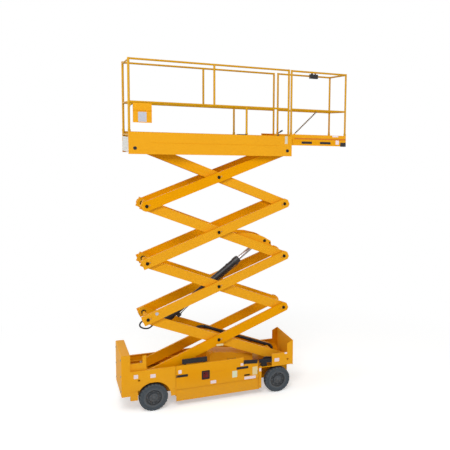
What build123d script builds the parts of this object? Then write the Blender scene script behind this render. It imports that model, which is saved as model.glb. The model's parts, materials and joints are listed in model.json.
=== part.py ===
"""Electric slab scissor lift with four scissor stages and a roll-out deck extension.

Millimetres. X runs along the machine from the entry end to the steered end, Y across it, Z up.
Every length below is laid out about the middle of the wheelbase; the finished solids are then
moved along X so that the origin is under the middle of the whole machine at floor level.
"""
import os
from math import atan2, cos, degrees, radians, sin, hypot

from build123d import *

# --- driving dimensions -----------------------------------------------------------------

# running gear
WHEELBASE = 1860.0
WIDTH = 810.0
TYRE_R = 200.0
TYRE_W = 125.0
TYRE_CORNER = 16.0
RIM_R = 128.0
RIM_FIT = 0.3
HUB_R = 62.0
AXLE_R = 24.0
KINGPIN_INSET = 40.0
KINGPIN_R = 20.0
FORK_HALF = 60.0
FORK_EYE_R = 38.0
FORK_T = 16.0
FLANGE_HALF = 70.0
SLEEVE_R = 45.0
STEER_DEG = 35.0
STEER_LEVER = 90.0

# chassis
PLATE_T = 10.0
GIRDER_HALF = 140.0
GIRDER_BOTTOM = 170.0
DECK_TOP = 440.0
REAR_BAY = 305.0
FRONT_BAY = 285.0
COVER_BOTTOM = 275.0
COVER_TOP = 630.0
COVER_GAP = 6.0
COVER_FLANGE = 20.0
NOTCH_L = 226.0
NOTCH_Z = 502.0
HINGE_INSET = 29.0
HINGE_R = 5.0
HINGE_PIN_R = 2.5
HINGE_Z = (290.0, 340.0, 400.0, 450.0)
HINGE_SWING = 12.0
SLOT_LENGTHS = (157.0, 170.0)
SLOT_INSETS = (13.0, 194.0)
SLOT_Z = (462.0, 487.0)
GUARD_BOTTOM = 90.0
GUARD_T = 8.0
GUARD_LIFT = 100.0
GUARD_LAP = 40.0
CONTROL_INSET = 380.0
CONTROL_W = 110.0
CONTROL_Z = (370.0, 510.0)
CONTROL_DEPTH = 9.0
CONTROL_FIT = 0.3
BATTERY_COUNT = 4
BATTERY_GAP = 15.0
ENTRY_CLEAR = 25.0
ENTRY_FROM_AXLE = 315.0
ENTRY_DEPTH = 120.0
ENTRY_TOP = 880.0
ENTRY_BOTTOM = 270.0
SHIELD_L = 220.0
SHIELD_TOP = 735.0
SHIELD_POST_W = 50.0
SHIELD_POST_TOP = 840.0
REAR_SKIN_LOW = 195.0
REAR_SKIN_HIGH = 340.0
CORNER_W = 100.0
CORNER_DEPTH = 50.0
ARCH_R = 240.0
FRONT_FROM_AXLE = 245.0
FRONT_FROM_PIN = 130.0
FRONT_END_BOTTOM = 420.0
FRONT_TOP = 820.0
FRONT_SKIN_BACK = 98.0
FRONT_FLANGE = 85.0
FRONT_FLANGE_CUT = 45.0
STRIP_Z = (110.0, 460.0)
STRIP_PAST_BAY = 20.0
TIE_R = 16.0
TIE_T = 20.0
TIE_RIM = 14.0
TIE_REAR = (200.0, 490.0)
TIE_FRONT = (160.0, 520.0)
PUMP_FROM_PIN = (1115.0, 455.0)
PUMP_Z = (700.0, 600.0)
PUMP_CORNER = 30.0
PUMP_HALF = 150.0

# scissor stack
STAGES = 4
ARM_LENGTH = 2192.0
REST_DEG = 22.2
LOW_DEG = 4.0
HIGH_DEG = 54.0
FIXED_X = 1045.0
BASE_PIN_Z = 515.0
ARM_DEPTH = 140.0
ARM_T = 45.0
ARM_GAP = 7.0
INNER_FACE = 200.0
ARM_OVERHANG = 72.0
ARM_CORNER = 34.0
PIN_R = 25.0
PIN_FIT = 0.3
PIN_HEAD_R = 38.0
PIN_HEAD_T = 8.0
CROSS_R = 34.0
CROSS_LEFT = 300.0
CROSS_RIGHT = 150.0

MOUNT_FOOT = 75.0
MOUNT_HEAD = 40.0
MOUNT_RISE = 42.0

# slides
SLIDE_L = 90.0
SLIDE_H = 62.0
SLIDE_T = 34.0
SLIDE_FIT = 1.0
TRACK_T = 8.0
TRACK_SPARE = 20.0

# lift cylinder
BARREL_R = 52.0
BARREL_LENGTH = 1400.0
ROD_R = 30.0
ROD_FIT = 0.5
ROD_LENGTH = 1270.0
EYE_R = 46.0
EYE_HALF = 34.0
EYE_PIN_R = 22.0
EYE_GAP = 6.0
CYL_TOP_ALONG = 355.0
CYL_TOP_RISE = 115.0
HUMP_T = 14.0
HUMP_GAP = 6.0
HUMP_RUN = (215.0, 880.0)
HUMP_TOP = (275.0, 450.0)
HUMP_ABOVE = 54.0
HUMP_SHOULDER = (610.0, 148.0)
CYL_TUBE_R = 32.0

# platform
DECK_PAST_PIN = 69.0
END_CLEAR = 8.0
SKIRT_DROP = 83.0
SKIRT_RISE = 225.0
SKIRT_T = 10.0
SKIRT_HOLE_R = 24.0
SKIRT_HOLE_INSET = 84.0
SILL_Z = (-58.0, 152.0)
SILL_T = 8.0
FLOOR_TOP = 80.0
FLOOR_T = 8.0
RIB_DEPTH = 30.0
RIB_T = 8.0
RIB_COUNT = 6
RIB_HALF = 190.0
RAIL_TOP = 1220.0
MID_RAIL = 638.0
RAIL_R = 15.0
POST_RIGHT_INSET = 50.0
POST_LOWER_INSET = 697.0
BOX_INSET = 66.0
BOX_W = 244.0
BOX_DROP = 270.0
BOX_DEPTH = 40.0

# extension
EXT_REACH = 920.0
EXT_OVERLAP = 260.0
EXT_FLOOR_T = 8.0
EXT_GAP = 6.0
EXT_RUNNER = (150.0, 40.0)
EXT_RUNNER_FIT = 0.3
EXT_SIDE_GAP = 8.0
EXT_SKIRT_H = 169.0
EXT_SKIRT_T = 11.0
EXT_FLANGE = 37.0
EXT_RAIL_R = 15.0
EXT_POST_PAST = 6.0
EXT_SLOTS = ((181.0, 336.0), (486.0, 649.0))
EXT_SLOT_Z = (122.0, 142.0)
STAY_R = 5.0
STAY_INSET = 27.0
STAY_RUN = (62.0, 442.0)
STAY_FOOT = (28.0, 18.0, 12.0)

# entry gate
GATE_R = 13.0
BAR_EASE = 1.0
GATE_HALF = 335.0
GATE_BOTTOM = 168.0
GATE_TOP = 1222.0
GATE_PIN_R = 8.0

# --- places worked out from them ----------------------------------------------------------

HALF = WIDTH / 2
SKIN_IN = HALF - PLATE_T
AXLE_X = WHEELBASE / 2
TYRE_Y = HALF - TYRE_W / 2
REST = radians(REST_DEG)
SPAN = ARM_LENGTH * cos(REST)
RISE = ARM_LENGTH * sin(REST)
FREE_X = FIXED_X - SPAN
MID_X = (FREE_X + FIXED_X) / 2
TOP_PIN_Z = BASE_PIN_Z + STAGES * RISE
FREE_X_LOW = FIXED_X - ARM_LENGTH * cos(radians(LOW_DEG))
FREE_X_HIGH = FIXED_X - ARM_LENGTH * cos(radians(HIGH_DEG))
OUTER_FACE = INNER_FACE + ARM_T + ARM_GAP
OUTER_SKIN = OUTER_FACE + ARM_T
SLIDE_IN = OUTER_SKIN + PIN_HEAD_T + 6
SLIDE_OUT = SLIDE_IN + SLIDE_T
ENTRY_IN = min(FREE_X_LOW - ARM_OVERHANG - ENTRY_CLEAR, -AXLE_X - ENTRY_FROM_AXLE)
CHASSIS_LEFT = ENTRY_IN - ENTRY_DEPTH
CHASSIS_RIGHT = max(AXLE_X + FRONT_FROM_AXLE, FIXED_X + FRONT_FROM_PIN)
BAY_LEFT = -AXLE_X + REAR_BAY
BAY_RIGHT = AXLE_X - FRONT_BAY
HINGE_X = BAY_RIGHT - HINGE_INSET
STRIP_X = (HINGE_X + HINGE_SWING, BAY_RIGHT + STRIP_PAST_BAY)
COVER_LEFT = BAY_LEFT + COVER_GAP
SLOTS = ((COVER_LEFT + SLOT_INSETS[0], COVER_LEFT + SLOT_INSETS[0] + SLOT_LENGTHS[0]),
         (BAY_RIGHT - SLOT_INSETS[1] - SLOT_LENGTHS[1], BAY_RIGHT - SLOT_INSETS[1]))
CONTROL_X = (BAY_LEFT + CONTROL_INSET, BAY_LEFT + CONTROL_INSET + CONTROL_W)
DECK_LEFT = FREE_X_LOW - ARM_DEPTH / 2 - SILL_T - END_CLEAR
DECK_RIGHT = FIXED_X + DECK_PAST_PIN
POST_RIGHT = DECK_RIGHT - POST_RIGHT_INSET
POST_MIDDLE = (DECK_LEFT + DECK_RIGHT) / 2
POST_LOWER = DECK_RIGHT - POST_LOWER_INSET
EXT_Z = FLOOR_TOP + EXT_GAP
EXT_END = DECK_RIGHT + EXT_REACH
RAIL_Y = HALF - SKIRT_T - RAIL_R
EXT_OUT = RAIL_Y - RAIL_R - EXT_SIDE_GAP
EXT_RAIL_Y = EXT_OUT - EXT_RAIL_R
EXT_POST_X = DECK_RIGHT + EXT_POST_PAST
STAY_X = (DECK_RIGHT + STAY_RUN[0], DECK_RIGHT + STAY_RUN[1])
STAY_Y = EXT_OUT - STAY_INSET
ENTRY_POST_X = DECK_LEFT + RAIL_R
X_LEFT = CHASSIS_LEFT
X_RIGHT = max(EXT_END, CHASSIS_RIGHT)
SHIFT_X = -(X_LEFT + X_RIGHT) / 2


# --- small builders -------------------------------------------------------------------------

def block(x0, x1, y0, y1, z0, z1):
    """A box between two opposite corners."""
    centre = ((x0 + x1) / 2, (y0 + y1) / 2, (z0 + z1) / 2)
    return Pos(*centre) * Box(x1 - x0, y1 - y0, z1 - z0)


def rod_y(x, z, radius, y0, y1):
    """A round bar along Y."""
    return Pos(x, (y0 + y1) / 2, z) * Rot(90, 0, 0) * Cylinder(radius, y1 - y0)


def rod_z(x, y, radius, z0, z1):
    """An upright round bar."""
    return Pos(x, y, (z0 + z1) / 2) * Cylinder(radius, z1 - z0)


def profile(points, y0, y1):
    """A flat plate cut to an outline of (x, z) points, between two faces across Y."""
    outline = Polyline([(x, y0, z) for x, z in points], close=True)
    return extrude(make_face(outline), amount=y1 - y0, dir=(0, 1, 0))


def both_sides(shape):
    """The piece and its mirror image across the machine's centre plane."""
    return [shape, mirror(shape, about=Plane.XZ)]


def save(name, *shapes):
    """Write one node, moved from the wheelbase's middle to the machine's own origin."""
    solids = []
    for shape in shapes:
        solids.extend(shape.solids())
    placed = [Pos(SHIFT_X, 0, 0) * solid for solid in solids]
    whole = placed[0] if len(placed) == 1 else Compound(children=placed)
    export_step(whole, f"parts/{name}.step")


# --- running gear -----------------------------------------------------------------------------

def tyre(x, y):
    """Solid tyre with cut shoulders, open at the rim seat."""
    ring = rod_y(x, TYRE_R, TYRE_R, y - TYRE_W / 2, y + TYRE_W / 2)
    ring = chamfer(ring.edges().filter_by(GeomType.CIRCLE), TYRE_CORNER)
    return ring - rod_y(x, TYRE_R, RIM_R, y - TYRE_W, y + TYRE_W)


def rim(x, y):
    """Steel wheel centre, dished on its outer side, with a raised hub."""
    side = 1 if y > 0 else -1
    disc = rod_y(x, TYRE_R, RIM_R - RIM_FIT, y - TYRE_W / 2 + 6, y + TYRE_W / 2 - 6)
    outer = y + side * (TYRE_W / 2 - 6)
    dish = rod_y(x, TYRE_R, RIM_R - 14, min(outer, outer - side * 34), max(outer, outer - side * 34))
    hub = rod_y(x, TYRE_R, HUB_R, min(outer - side * 36, outer - side * 8),
                max(outer - side * 36, outer - side * 8))
    bore = rod_y(x, TYRE_R, AXLE_R + RIM_FIT, y - TYRE_W, y + TYRE_W)
    return disc - dish + hub - bore


def axle_stub(x, y, inner):
    """Round stub that carries one wheel, from its root to just inside the hub's outer face."""
    side = 1 if y > 0 else -1
    tip = y + side * (TYRE_W / 2 - 16)
    return rod_y(x, TYRE_R, AXLE_R, min(inner, tip), max(inner, tip))


def knuckle(side):
    """Steered stub: kingpin barrel, arm for the track rod, and the wheel's stub axle."""
    pin_y = side * (TYRE_Y - KINGPIN_INSET - TYRE_W / 2)
    body = rod_z(AXLE_X, pin_y, KINGPIN_R + 14, TYRE_R - 45, TYRE_R + 45)
    bore = rod_z(AXLE_X, pin_y, KINGPIN_R + PIN_FIT, 0, 2 * TYRE_R)
    stub = axle_stub(AXLE_X, side * TYRE_Y, pin_y + side * (KINGPIN_R + 8))
    lever = block(AXLE_X - STEER_LEVER, AXLE_X, pin_y - 14, pin_y + 14, TYRE_R - 10, TYRE_R + 10)
    lever += rod_z(AXLE_X - STEER_LEVER, pin_y, 18, TYRE_R - 10, TYRE_R + 10)
    lever -= rod_z(AXLE_X - STEER_LEVER, pin_y, 8, 0, 2 * TYRE_R)
    return body + stub + lever - bore


def front_axle():
    """Two forks on the girder's flanks, each with the kingpin that its knuckle turns on."""
    pin_y = TYRE_Y - KINGPIN_INSET - TYRE_W / 2
    root = GIRDER_HALF + PLATE_T
    fork = block(AXLE_X - FORK_HALF, AXLE_X + FORK_HALF, GIRDER_HALF, root, TYRE_R - 66, TYRE_R + 90)
    for z0 in (TYRE_R - 48 - FORK_T, TYRE_R + 48):
        fork += block(AXLE_X - FORK_EYE_R, AXLE_X + FORK_EYE_R, root, pin_y, z0, z0 + FORK_T)
        fork += rod_z(AXLE_X, pin_y, FORK_EYE_R, z0, z0 + FORK_T)
    fork += rod_z(AXLE_X, pin_y, KINGPIN_R, TYRE_R - 60, TYRE_R + 60)
    return both_sides(fork)


def rear_axle():
    """Two fixed stub axles on flanges bolted to the girder's flanks."""
    root = GIRDER_HALF + PLATE_T
    flange = block(-AXLE_X - FLANGE_HALF, -AXLE_X + FLANGE_HALF, GIRDER_HALF, root, TYRE_R - 30, TYRE_R + 90)
    sleeve = rod_y(-AXLE_X, TYRE_R, SLEEVE_R, root, TYRE_Y - TYRE_W / 2 - 8)
    return both_sides(flange + sleeve + axle_stub(-AXLE_X, TYRE_Y, root))


# --- chassis ----------------------------------------------------------------------------------

def chassis_frame():
    """Welded base: centre girder, deck, side trays and the bulkheads beside the wheel bays."""
    x0 = ENTRY_IN
    x1 = CHASSIS_RIGHT - PLATE_T
    frame = block(x0, x1, -SKIN_IN, SKIN_IN, DECK_TOP - PLATE_T, DECK_TOP)
    tray_out = SKIN_IN - 19
    door_clear = SKIN_IN - 2
    frame -= block(BAY_LEFT, STRIP_X[0], door_clear, HALF, 0, DECK_TOP + 1)
    frame -= block(BAY_LEFT, STRIP_X[0], -HALF, -door_clear, 0, DECK_TOP + 1)
    for side in (-1, 1):
        web = (side * GIRDER_HALF, side * (GIRDER_HALF - PLATE_T))
        frame += block(x0, x1, min(web), max(web), GIRDER_BOTTOM, DECK_TOP)
        tray = (side * (GIRDER_HALF - PLATE_T), side * tray_out)
        frame += block(BAY_LEFT, BAY_RIGHT, min(tray), max(tray), GIRDER_BOTTOM,
                       GIRDER_BOTTOM + PLATE_T)
        wall = (side * (GIRDER_HALF - PLATE_T), side * SKIN_IN)
        for x in (BAY_LEFT, BAY_RIGHT - PLATE_T):
            frame += block(x, x + PLATE_T, min(wall), max(wall), GIRDER_BOTTOM, DECK_TOP)
    return frame


def pump_cover():
    """Sloping cover on the deck over the pump and tank."""
    x0 = FIXED_X - PUMP_FROM_PIN[0]
    x1 = FIXED_X - PUMP_FROM_PIN[1]
    return profile([(x0, DECK_TOP), (x1, DECK_TOP), (x1, PUMP_Z[1]), (x0 + PUMP_CORNER, PUMP_Z[0]),
                    (x0, PUMP_Z[0] - PUMP_CORNER)], -PUMP_HALF, PUMP_HALF)


def scissor_mounts():
    """Twin plates on the deck, each pair with the pin that the lowest inner arm swings on."""
    mount = None
    inner = INNER_FACE - 8
    outer = INNER_FACE + ARM_T + 8
    for y in (inner - 16, outer):
        plate = profile([(FIXED_X - MOUNT_FOOT, DECK_TOP), (FIXED_X + MOUNT_FOOT, DECK_TOP),
                         (FIXED_X + MOUNT_HEAD, BASE_PIN_Z + MOUNT_RISE),
                         (FIXED_X - MOUNT_HEAD, BASE_PIN_Z + MOUNT_RISE)], y, y + 16)
        mount = plate if mount is None else mount + plate
    mount += rod_y(FIXED_X, BASE_PIN_Z, PIN_R, inner - 26, outer + 26)
    return both_sides(mount)


def track(z, support_z):
    """C-shaped slide track and its two pads, open towards the scissor arms."""
    x0 = FREE_X_LOW - SLIDE_L / 2 - TRACK_SPARE
    x1 = FREE_X_HIGH + SLIDE_L / 2 + TRACK_SPARE
    half = SLIDE_H / 2 + SLIDE_FIT
    y0 = SLIDE_IN + 1
    y1 = SLIDE_OUT + SLIDE_FIT + TRACK_T
    channel = block(x0, x1, y0, y1, z - half - TRACK_T, z + half + TRACK_T)
    channel -= block(x0, x1, y0, y1 - TRACK_T, z - half, z + half)
    near = z + half + TRACK_T if support_z > z else z - half - TRACK_T
    for x in (x0 + 60, (x0 + x1) / 2, x1 - 60):
        channel += block(x - 40, x + 40, y0 + 6, y1, min(near, support_z), max(near, support_z))
    return both_sides(channel)


def lower_tracks():
    """The deck's two tracks; the near one has an upright shield and post outside its entry end."""
    y1 = -(SLIDE_OUT + SLIDE_FIT + TRACK_T)
    x1 = ENTRY_IN + SHIELD_L
    shield = profile([(ENTRY_IN, DECK_TOP), (x1, DECK_TOP), (x1, SHIELD_POST_TOP),
                      (x1 - SHIELD_POST_W, SHIELD_POST_TOP), (x1 - SHIELD_POST_W, SHIELD_TOP),
                      (ENTRY_IN, SHIELD_TOP)], y1 - PLATE_T, y1)
    channels = track(BASE_PIN_Z, DECK_TOP)
    nearest = 0 if channels[0].bounding_box().center().Y < 0 else 1
    channels[nearest] += shield
    return channels


def entry_end():
    """Deep folded end box at the entry end, open underneath."""
    box = block(CHASSIS_LEFT, ENTRY_IN, -HALF, HALF, ENTRY_BOTTOM, ENTRY_TOP)
    box = chamfer(box.edges().filter_by(Axis.Y).group_by(Axis.Z)[-1], 8)
    return box - block(CHASSIS_LEFT + PLATE_T, ENTRY_IN - PLATE_T, -SKIN_IN, SKIN_IN,
                       ENTRY_BOTTOM - 1, ENTRY_TOP - PLATE_T)


def tie_ring(x, z):
    """Round doubler behind a side skin, where a lashing shackle goes through."""
    return rod_y(x, z, TIE_R + TIE_RIM, HALF - TIE_T, SKIN_IN + 1)


def tie_hole(x, z):
    """The hole for the shackle's pin, through the skin and its doubler."""
    return rod_y(x, z, TIE_R, HALF - TIE_T - 1, HALF + 1)


def top_flange(x0, x1):
    """Fold along the top edge of a side skin, towards the machine's middle."""
    return block(x0, x1, SKIN_IN - COVER_FLANGE, SKIN_IN, COVER_TOP - PLATE_T, COVER_TOP)


def rear_cover():
    """Side skins over the fixed wheels, cut to a close arch, with a low corner block behind each."""
    wheel_x = -AXLE_X
    tie = (wheel_x - TIE_REAR[0], TIE_REAR[1])
    skin = profile([(ENTRY_IN, REAR_SKIN_HIGH), (wheel_x, REAR_SKIN_HIGH), (wheel_x, REAR_SKIN_LOW),
                    (BAY_LEFT, REAR_SKIN_LOW), (BAY_LEFT, COVER_TOP), (ENTRY_IN, COVER_TOP)], SKIN_IN, HALF)
    skin -= rod_y(wheel_x, TYRE_R, ARCH_R, SKIN_IN - 1, HALF + 1)
    skin -= block(wheel_x - ARCH_R, wheel_x + ARCH_R, SKIN_IN - 1, HALF + 1, 0, TYRE_R)
    corner = min(ENTRY_IN + CORNER_W, wheel_x - TYRE_R - CONTROL_DEPTH)
    skin += block(ENTRY_IN, corner, SKIN_IN - CORNER_DEPTH, SKIN_IN, REAR_SKIN_LOW, REAR_SKIN_HIGH + 20)
    skin += top_flange(ENTRY_IN, BAY_LEFT) + tie_ring(*tie)
    return both_sides(skin - tie_hole(*tie))


def front_end_plate():
    """Upright plate across the steered end."""
    return block(CHASSIS_RIGHT - PLATE_T, CHASSIS_RIGHT, -HALF, HALF, FRONT_END_BOTTOM, FRONT_TOP)


def front_skin():
    """Side skins above the steered wheels, each rising to the end plate."""
    x0 = AXLE_X - FRONT_SKIN_BACK
    x1 = CHASSIS_RIGHT - PLATE_T
    z0 = DECK_TOP - PLATE_T
    tie = (AXLE_X + TIE_FRONT[0], TIE_FRONT[1])
    rise_x = x1 - FRONT_FLANGE
    skin = profile([(x0, z0), (x1, z0), (x1, FRONT_TOP), (rise_x, FRONT_TOP - FRONT_FLANGE_CUT),
                    (rise_x, COVER_TOP), (x0, COVER_TOP)], SKIN_IN, HALF)
    skin += top_flange(x0, rise_x) + tie_ring(*tie)
    return both_sides(skin - tie_hole(*tie))


def hinge_strip():
    """Upright strips ahead of the steered wheels, with the fixed barrel and pin of each cover's hinge."""
    y = HALF - HINGE_R
    strip = block(*STRIP_X, SKIN_IN, HALF, *STRIP_Z)
    strip += block(HINGE_X, STRIP_X[0], SKIN_IN, HALF, HINGE_Z[1], HINGE_Z[2])
    strip += rod_z(HINGE_X, y, HINGE_R, HINGE_Z[1], HINGE_Z[2])
    strip += rod_z(HINGE_X, y, HINGE_PIN_R, HINGE_Z[0] + 4, HINGE_Z[3] - 4)
    return both_sides(strip)


def side_cover():
    """Swing-out cover between the wheels: folded top edge, a finger slot near each end, hinge barrels."""
    y = HALF - HINGE_R
    edge = HINGE_X - HINGE_R
    skin = block(COVER_LEFT, edge, SKIN_IN, HALF, COVER_BOTTOM, COVER_TOP)
    skin += top_flange(COVER_LEFT + COVER_FLANGE, edge - NOTCH_L)
    skin -= block(edge - NOTCH_L, edge + 1, SKIN_IN - 1, HALF + 1, NOTCH_Z, COVER_TOP + 1)
    skin -= block(HINGE_X - HINGE_SWING, edge + 1, SKIN_IN - 1, HALF + 1, HINGE_Z[1] - 1, HINGE_Z[2] + 1)
    for z0, z1 in ((HINGE_Z[0], HINGE_Z[1] - 1), (HINGE_Z[2] + 1, HINGE_Z[3])):
        skin += block(edge - 1, HINGE_X, SKIN_IN, HALF, z0, z1) + rod_z(HINGE_X, y, HINGE_R, z0, z1)
    skin -= rod_z(HINGE_X, y, HINGE_PIN_R + PIN_FIT, HINGE_Z[0] - 1, HINGE_Z[3] + 1)
    for x0, x1 in SLOTS:
        skin -= block(x0, x1, SKIN_IN - 1, HALF + 1, *SLOT_Z)
    return both_sides(skin)


def ground_controls():
    """Control box let into the near cover."""
    return block(CONTROL_X[0], CONTROL_X[1], -HALF + 1, -HALF + 1 + CONTROL_DEPTH, CONTROL_Z[0], CONTROL_Z[1])


def pothole_guard():
    """Drop-down guard plate under the cover, in its lowered place."""
    out = SKIN_IN - 6
    plate = block(BAY_LEFT + PLATE_T + 0.5, BAY_RIGHT - PLATE_T - 0.5, out - GUARD_T + 1, out,
                  GUARD_BOTTOM, COVER_BOTTOM + GUARD_LAP)
    return both_sides(plate)


def batteries():
    """Plain blocks for the traction batteries on the side trays."""
    x0 = BAY_LEFT + PLATE_T + BATTERY_GAP
    pitch = (BAY_RIGHT - PLATE_T - x0) / BATTERY_COUNT
    both = []
    for number in range(BATTERY_COUNT):
        x = x0 + number * pitch
        pack = block(x, x + pitch - BATTERY_GAP, GIRDER_HALF + 5, SKIN_IN - 26, GIRDER_BOTTOM + PLATE_T,
                     DECK_TOP - PLATE_T - 12)
        both.extend(both_sides(pack))
    return both


# --- scissor stack -----------------------------------------------------------------------------

def arm(x0, z0, x1, z1, y0, y1, left_overhang, right_overhang, holes):
    """One flat arm between two pins, with its pin holes; an end with no overhang is rounded."""
    length = hypot(x1 - x0, z1 - z0)
    bar = Pos((right_overhang - left_overhang) / 2, 0, 0) * Box(
        length + left_overhang + right_overhang, y1 - y0, ARM_DEPTH)
    ends = bar.edges().filter_by(Axis.Y).group_by(Axis.X)
    for end, overhang, corners in ((-length / 2, left_overhang, ends[0]),
                                   (length / 2, right_overhang, ends[-1])):
        if overhang == 0:
            bar += Pos(end, 0, 0) * Rot(90, 0, 0) * Cylinder(ARM_DEPTH / 2, y1 - y0)
        else:
            bar = chamfer(corners, ARM_CORNER)
    for place, radius in holes:
        bar -= Pos((place - 0.5) * length, 0, 0) * Rot(90, 0, 0) * Cylinder(radius, y1 - y0 + 2)
    slope = degrees(atan2(z1 - z0, x1 - x0))
    return Pos((x0 + x1) / 2, (y0 + y1) / 2, (z0 + z1) / 2) * Rot(0, -slope, 0) * bar


def along_inner(stage, distance, rise=0.0):
    """Point on an inner arm, measured from its lower right pin, with a rise square to the arm."""
    z = BASE_PIN_Z + stage * RISE
    return (FIXED_X - distance * cos(REST) + rise * sin(REST),
            z + distance * sin(REST) + rise * cos(REST))


def inner_frame(stage):
    """Pair of inner arms, upper left to lower right, welded to their cross tubes."""
    z = BASE_PIN_Z + stage * RISE
    left = 0 if stage == STAGES - 1 else ARM_OVERHANG
    right = 0 if stage == 0 else ARM_OVERHANG
    hole = PIN_R + PIN_FIT
    top_hole = PIN_R if stage == STAGES - 1 else hole
    frame = None
    for side in (-1, 1):
        faces = (side * INNER_FACE, side * (INNER_FACE + ARM_T))
        bar = arm(FREE_X, z + RISE, FIXED_X, z, min(faces), max(faces), left, right,
                  ((0, top_hole), (0.5, hole), (1, hole)))
        frame = bar if frame is None else frame + bar
    places = [CROSS_RIGHT, ARM_LENGTH - CROSS_LEFT]
    for place in places:
        x, zc = along_inner(stage, place)
        frame += rod_y(x, zc, CROSS_R, -INNER_FACE - 1, INNER_FACE + 1)
    if stage == STAGES - 1:
        frame += rod_y(FREE_X, z + RISE, PIN_R, -SLIDE_OUT, SLIDE_OUT)
    if stage == 2:
        frame = add_cylinder_mount(frame)
    return frame


def add_cylinder_mount(frame):
    """Humped plates inside the third stage's arms, and the tubes that hold the cylinder's rod eye."""
    pin_x, pin_z = along_inner(2, CYL_TOP_ALONG, CYL_TOP_RISE)
    edge = ARM_DEPTH / 2 - 6
    outline = [(HUMP_RUN[0], -edge), (HUMP_RUN[0], edge), (HUMP_TOP[0], CYL_TOP_RISE + HUMP_ABOVE),
               (HUMP_TOP[1], CYL_TOP_RISE + HUMP_ABOVE), HUMP_SHOULDER, (HUMP_RUN[1], edge),
               (HUMP_RUN[1], -edge)]
    hump = profile([along_inner(2, *point) for point in outline], INNER_FACE - HUMP_GAP - HUMP_T,
                   INNER_FACE - HUMP_GAP)
    foot = profile([along_inner(2, along, rise) for along, rise in outline if abs(rise) == edge],
                   INNER_FACE - HUMP_GAP, INNER_FACE)
    tube = rod_y(pin_x, pin_z, CYL_TUBE_R, EYE_HALF + EYE_GAP, INNER_FACE - HUMP_GAP - HUMP_T + 1)
    nose = rod_y(pin_x, pin_z, EYE_PIN_R, EYE_HALF + 0.5, EYE_HALF + EYE_GAP)
    for side in both_sides(hump + foot + tube + nose):
        frame += side
    return frame


def outer_frame(stage):
    """Pair of outer arms, lower left to upper right, on through shafts, with centre pin stubs."""
    z = BASE_PIN_Z + stage * RISE
    left = 0 if stage == 0 else ARM_OVERHANG
    right = 0 if stage == STAGES - 1 else ARM_OVERHANG
    frame = None
    for side in (-1, 1):
        faces = (side * OUTER_FACE, side * OUTER_SKIN)
        bar = arm(FREE_X, z, FIXED_X, z + RISE, min(faces), max(faces), left, right, ())
        frame = bar if frame is None else frame + bar
        stub = (side * (INNER_FACE - 7), side * (OUTER_FACE + 1))
        frame += rod_y(MID_X, z + RISE / 2, PIN_R, min(stub), max(stub))
        head = (side * (INNER_FACE - 8), side * (INNER_FACE - 1))
        frame += rod_y(MID_X, z + RISE / 2, PIN_HEAD_R, min(head), max(head))
    low_reach = SLIDE_OUT if stage == 0 else OUTER_SKIN
    high_reach = OUTER_SKIN + PIN_HEAD_T + 22 if stage == STAGES - 1 else OUTER_SKIN
    frame += rod_y(FREE_X, z, PIN_R, -low_reach, low_reach)
    frame += rod_y(FIXED_X, z + RISE, PIN_R, -high_reach, high_reach)
    return frame


def slides(x, z):
    """Slide blocks on the ends of a sliding shaft."""
    pad = block(x - SLIDE_L / 2, x + SLIDE_L / 2, SLIDE_IN, SLIDE_OUT, z - SLIDE_H / 2, z + SLIDE_H / 2)
    return both_sides(pad - rod_y(x, z, PIN_R + PIN_FIT, SLIDE_IN - 1, SLIDE_OUT + 1))


# --- lift cylinder ------------------------------------------------------------------------------

def cylinder_line():
    """Lower and upper pivot of the lift cylinder at rest."""
    return along_inner(0, ARM_LENGTH - CROSS_LEFT), along_inner(2, CYL_TOP_ALONG, CYL_TOP_RISE)


def on_cylinder(shape):
    """Turn a piece laid along X from the origin onto the cylinder's line."""
    (x0, z0), (x1, z1) = cylinder_line()
    return Pos(x0, 0, z0) * Rot(0, -degrees(atan2(z1 - z0, x1 - x0)), 0) * shape


def bar_x(radius, x0, x1):
    """A round bar along X on the machine's centre line."""
    return Pos((x0 + x1) / 2, 0, 0) * Rot(0, 90, 0) * Cylinder(radius, x1 - x0)


def barrel():
    """Barrel with its foot round the lowest stage's upper cross tube, and a gland at its mouth."""
    foot = rod_y(0, 0, CROSS_R + 20, -62, 62)
    tube = bar_x(BARREL_R, 20, BARREL_LENGTH) + bar_x(BARREL_R + 7, BARREL_LENGTH - 70, BARREL_LENGTH)
    tube += bar_x(BARREL_R + 7, 40, 130)
    bore = bar_x(ROD_R + ROD_FIT, 130, BARREL_LENGTH + 1)
    return on_cylinder(foot + tube - bore - rod_y(0, 0, CROSS_R + PIN_FIT, -70, 70))


def rod():
    """Polished rod with its eye block, held between the upper lugs."""
    (x0, z0), (x1, z1) = cylinder_line()
    reach = hypot(x1 - x0, z1 - z0)
    eye = rod_y(reach, 0, EYE_R, -EYE_HALF, EYE_HALF)
    return on_cylinder(eye + bar_x(ROD_R, reach - ROD_LENGTH, reach - 10))


# --- platform ---------------------------------------------------------------------------------------

def at_top(z):
    """Height above the scissor stack's top pins."""
    return TOP_PIN_Z + z


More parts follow.
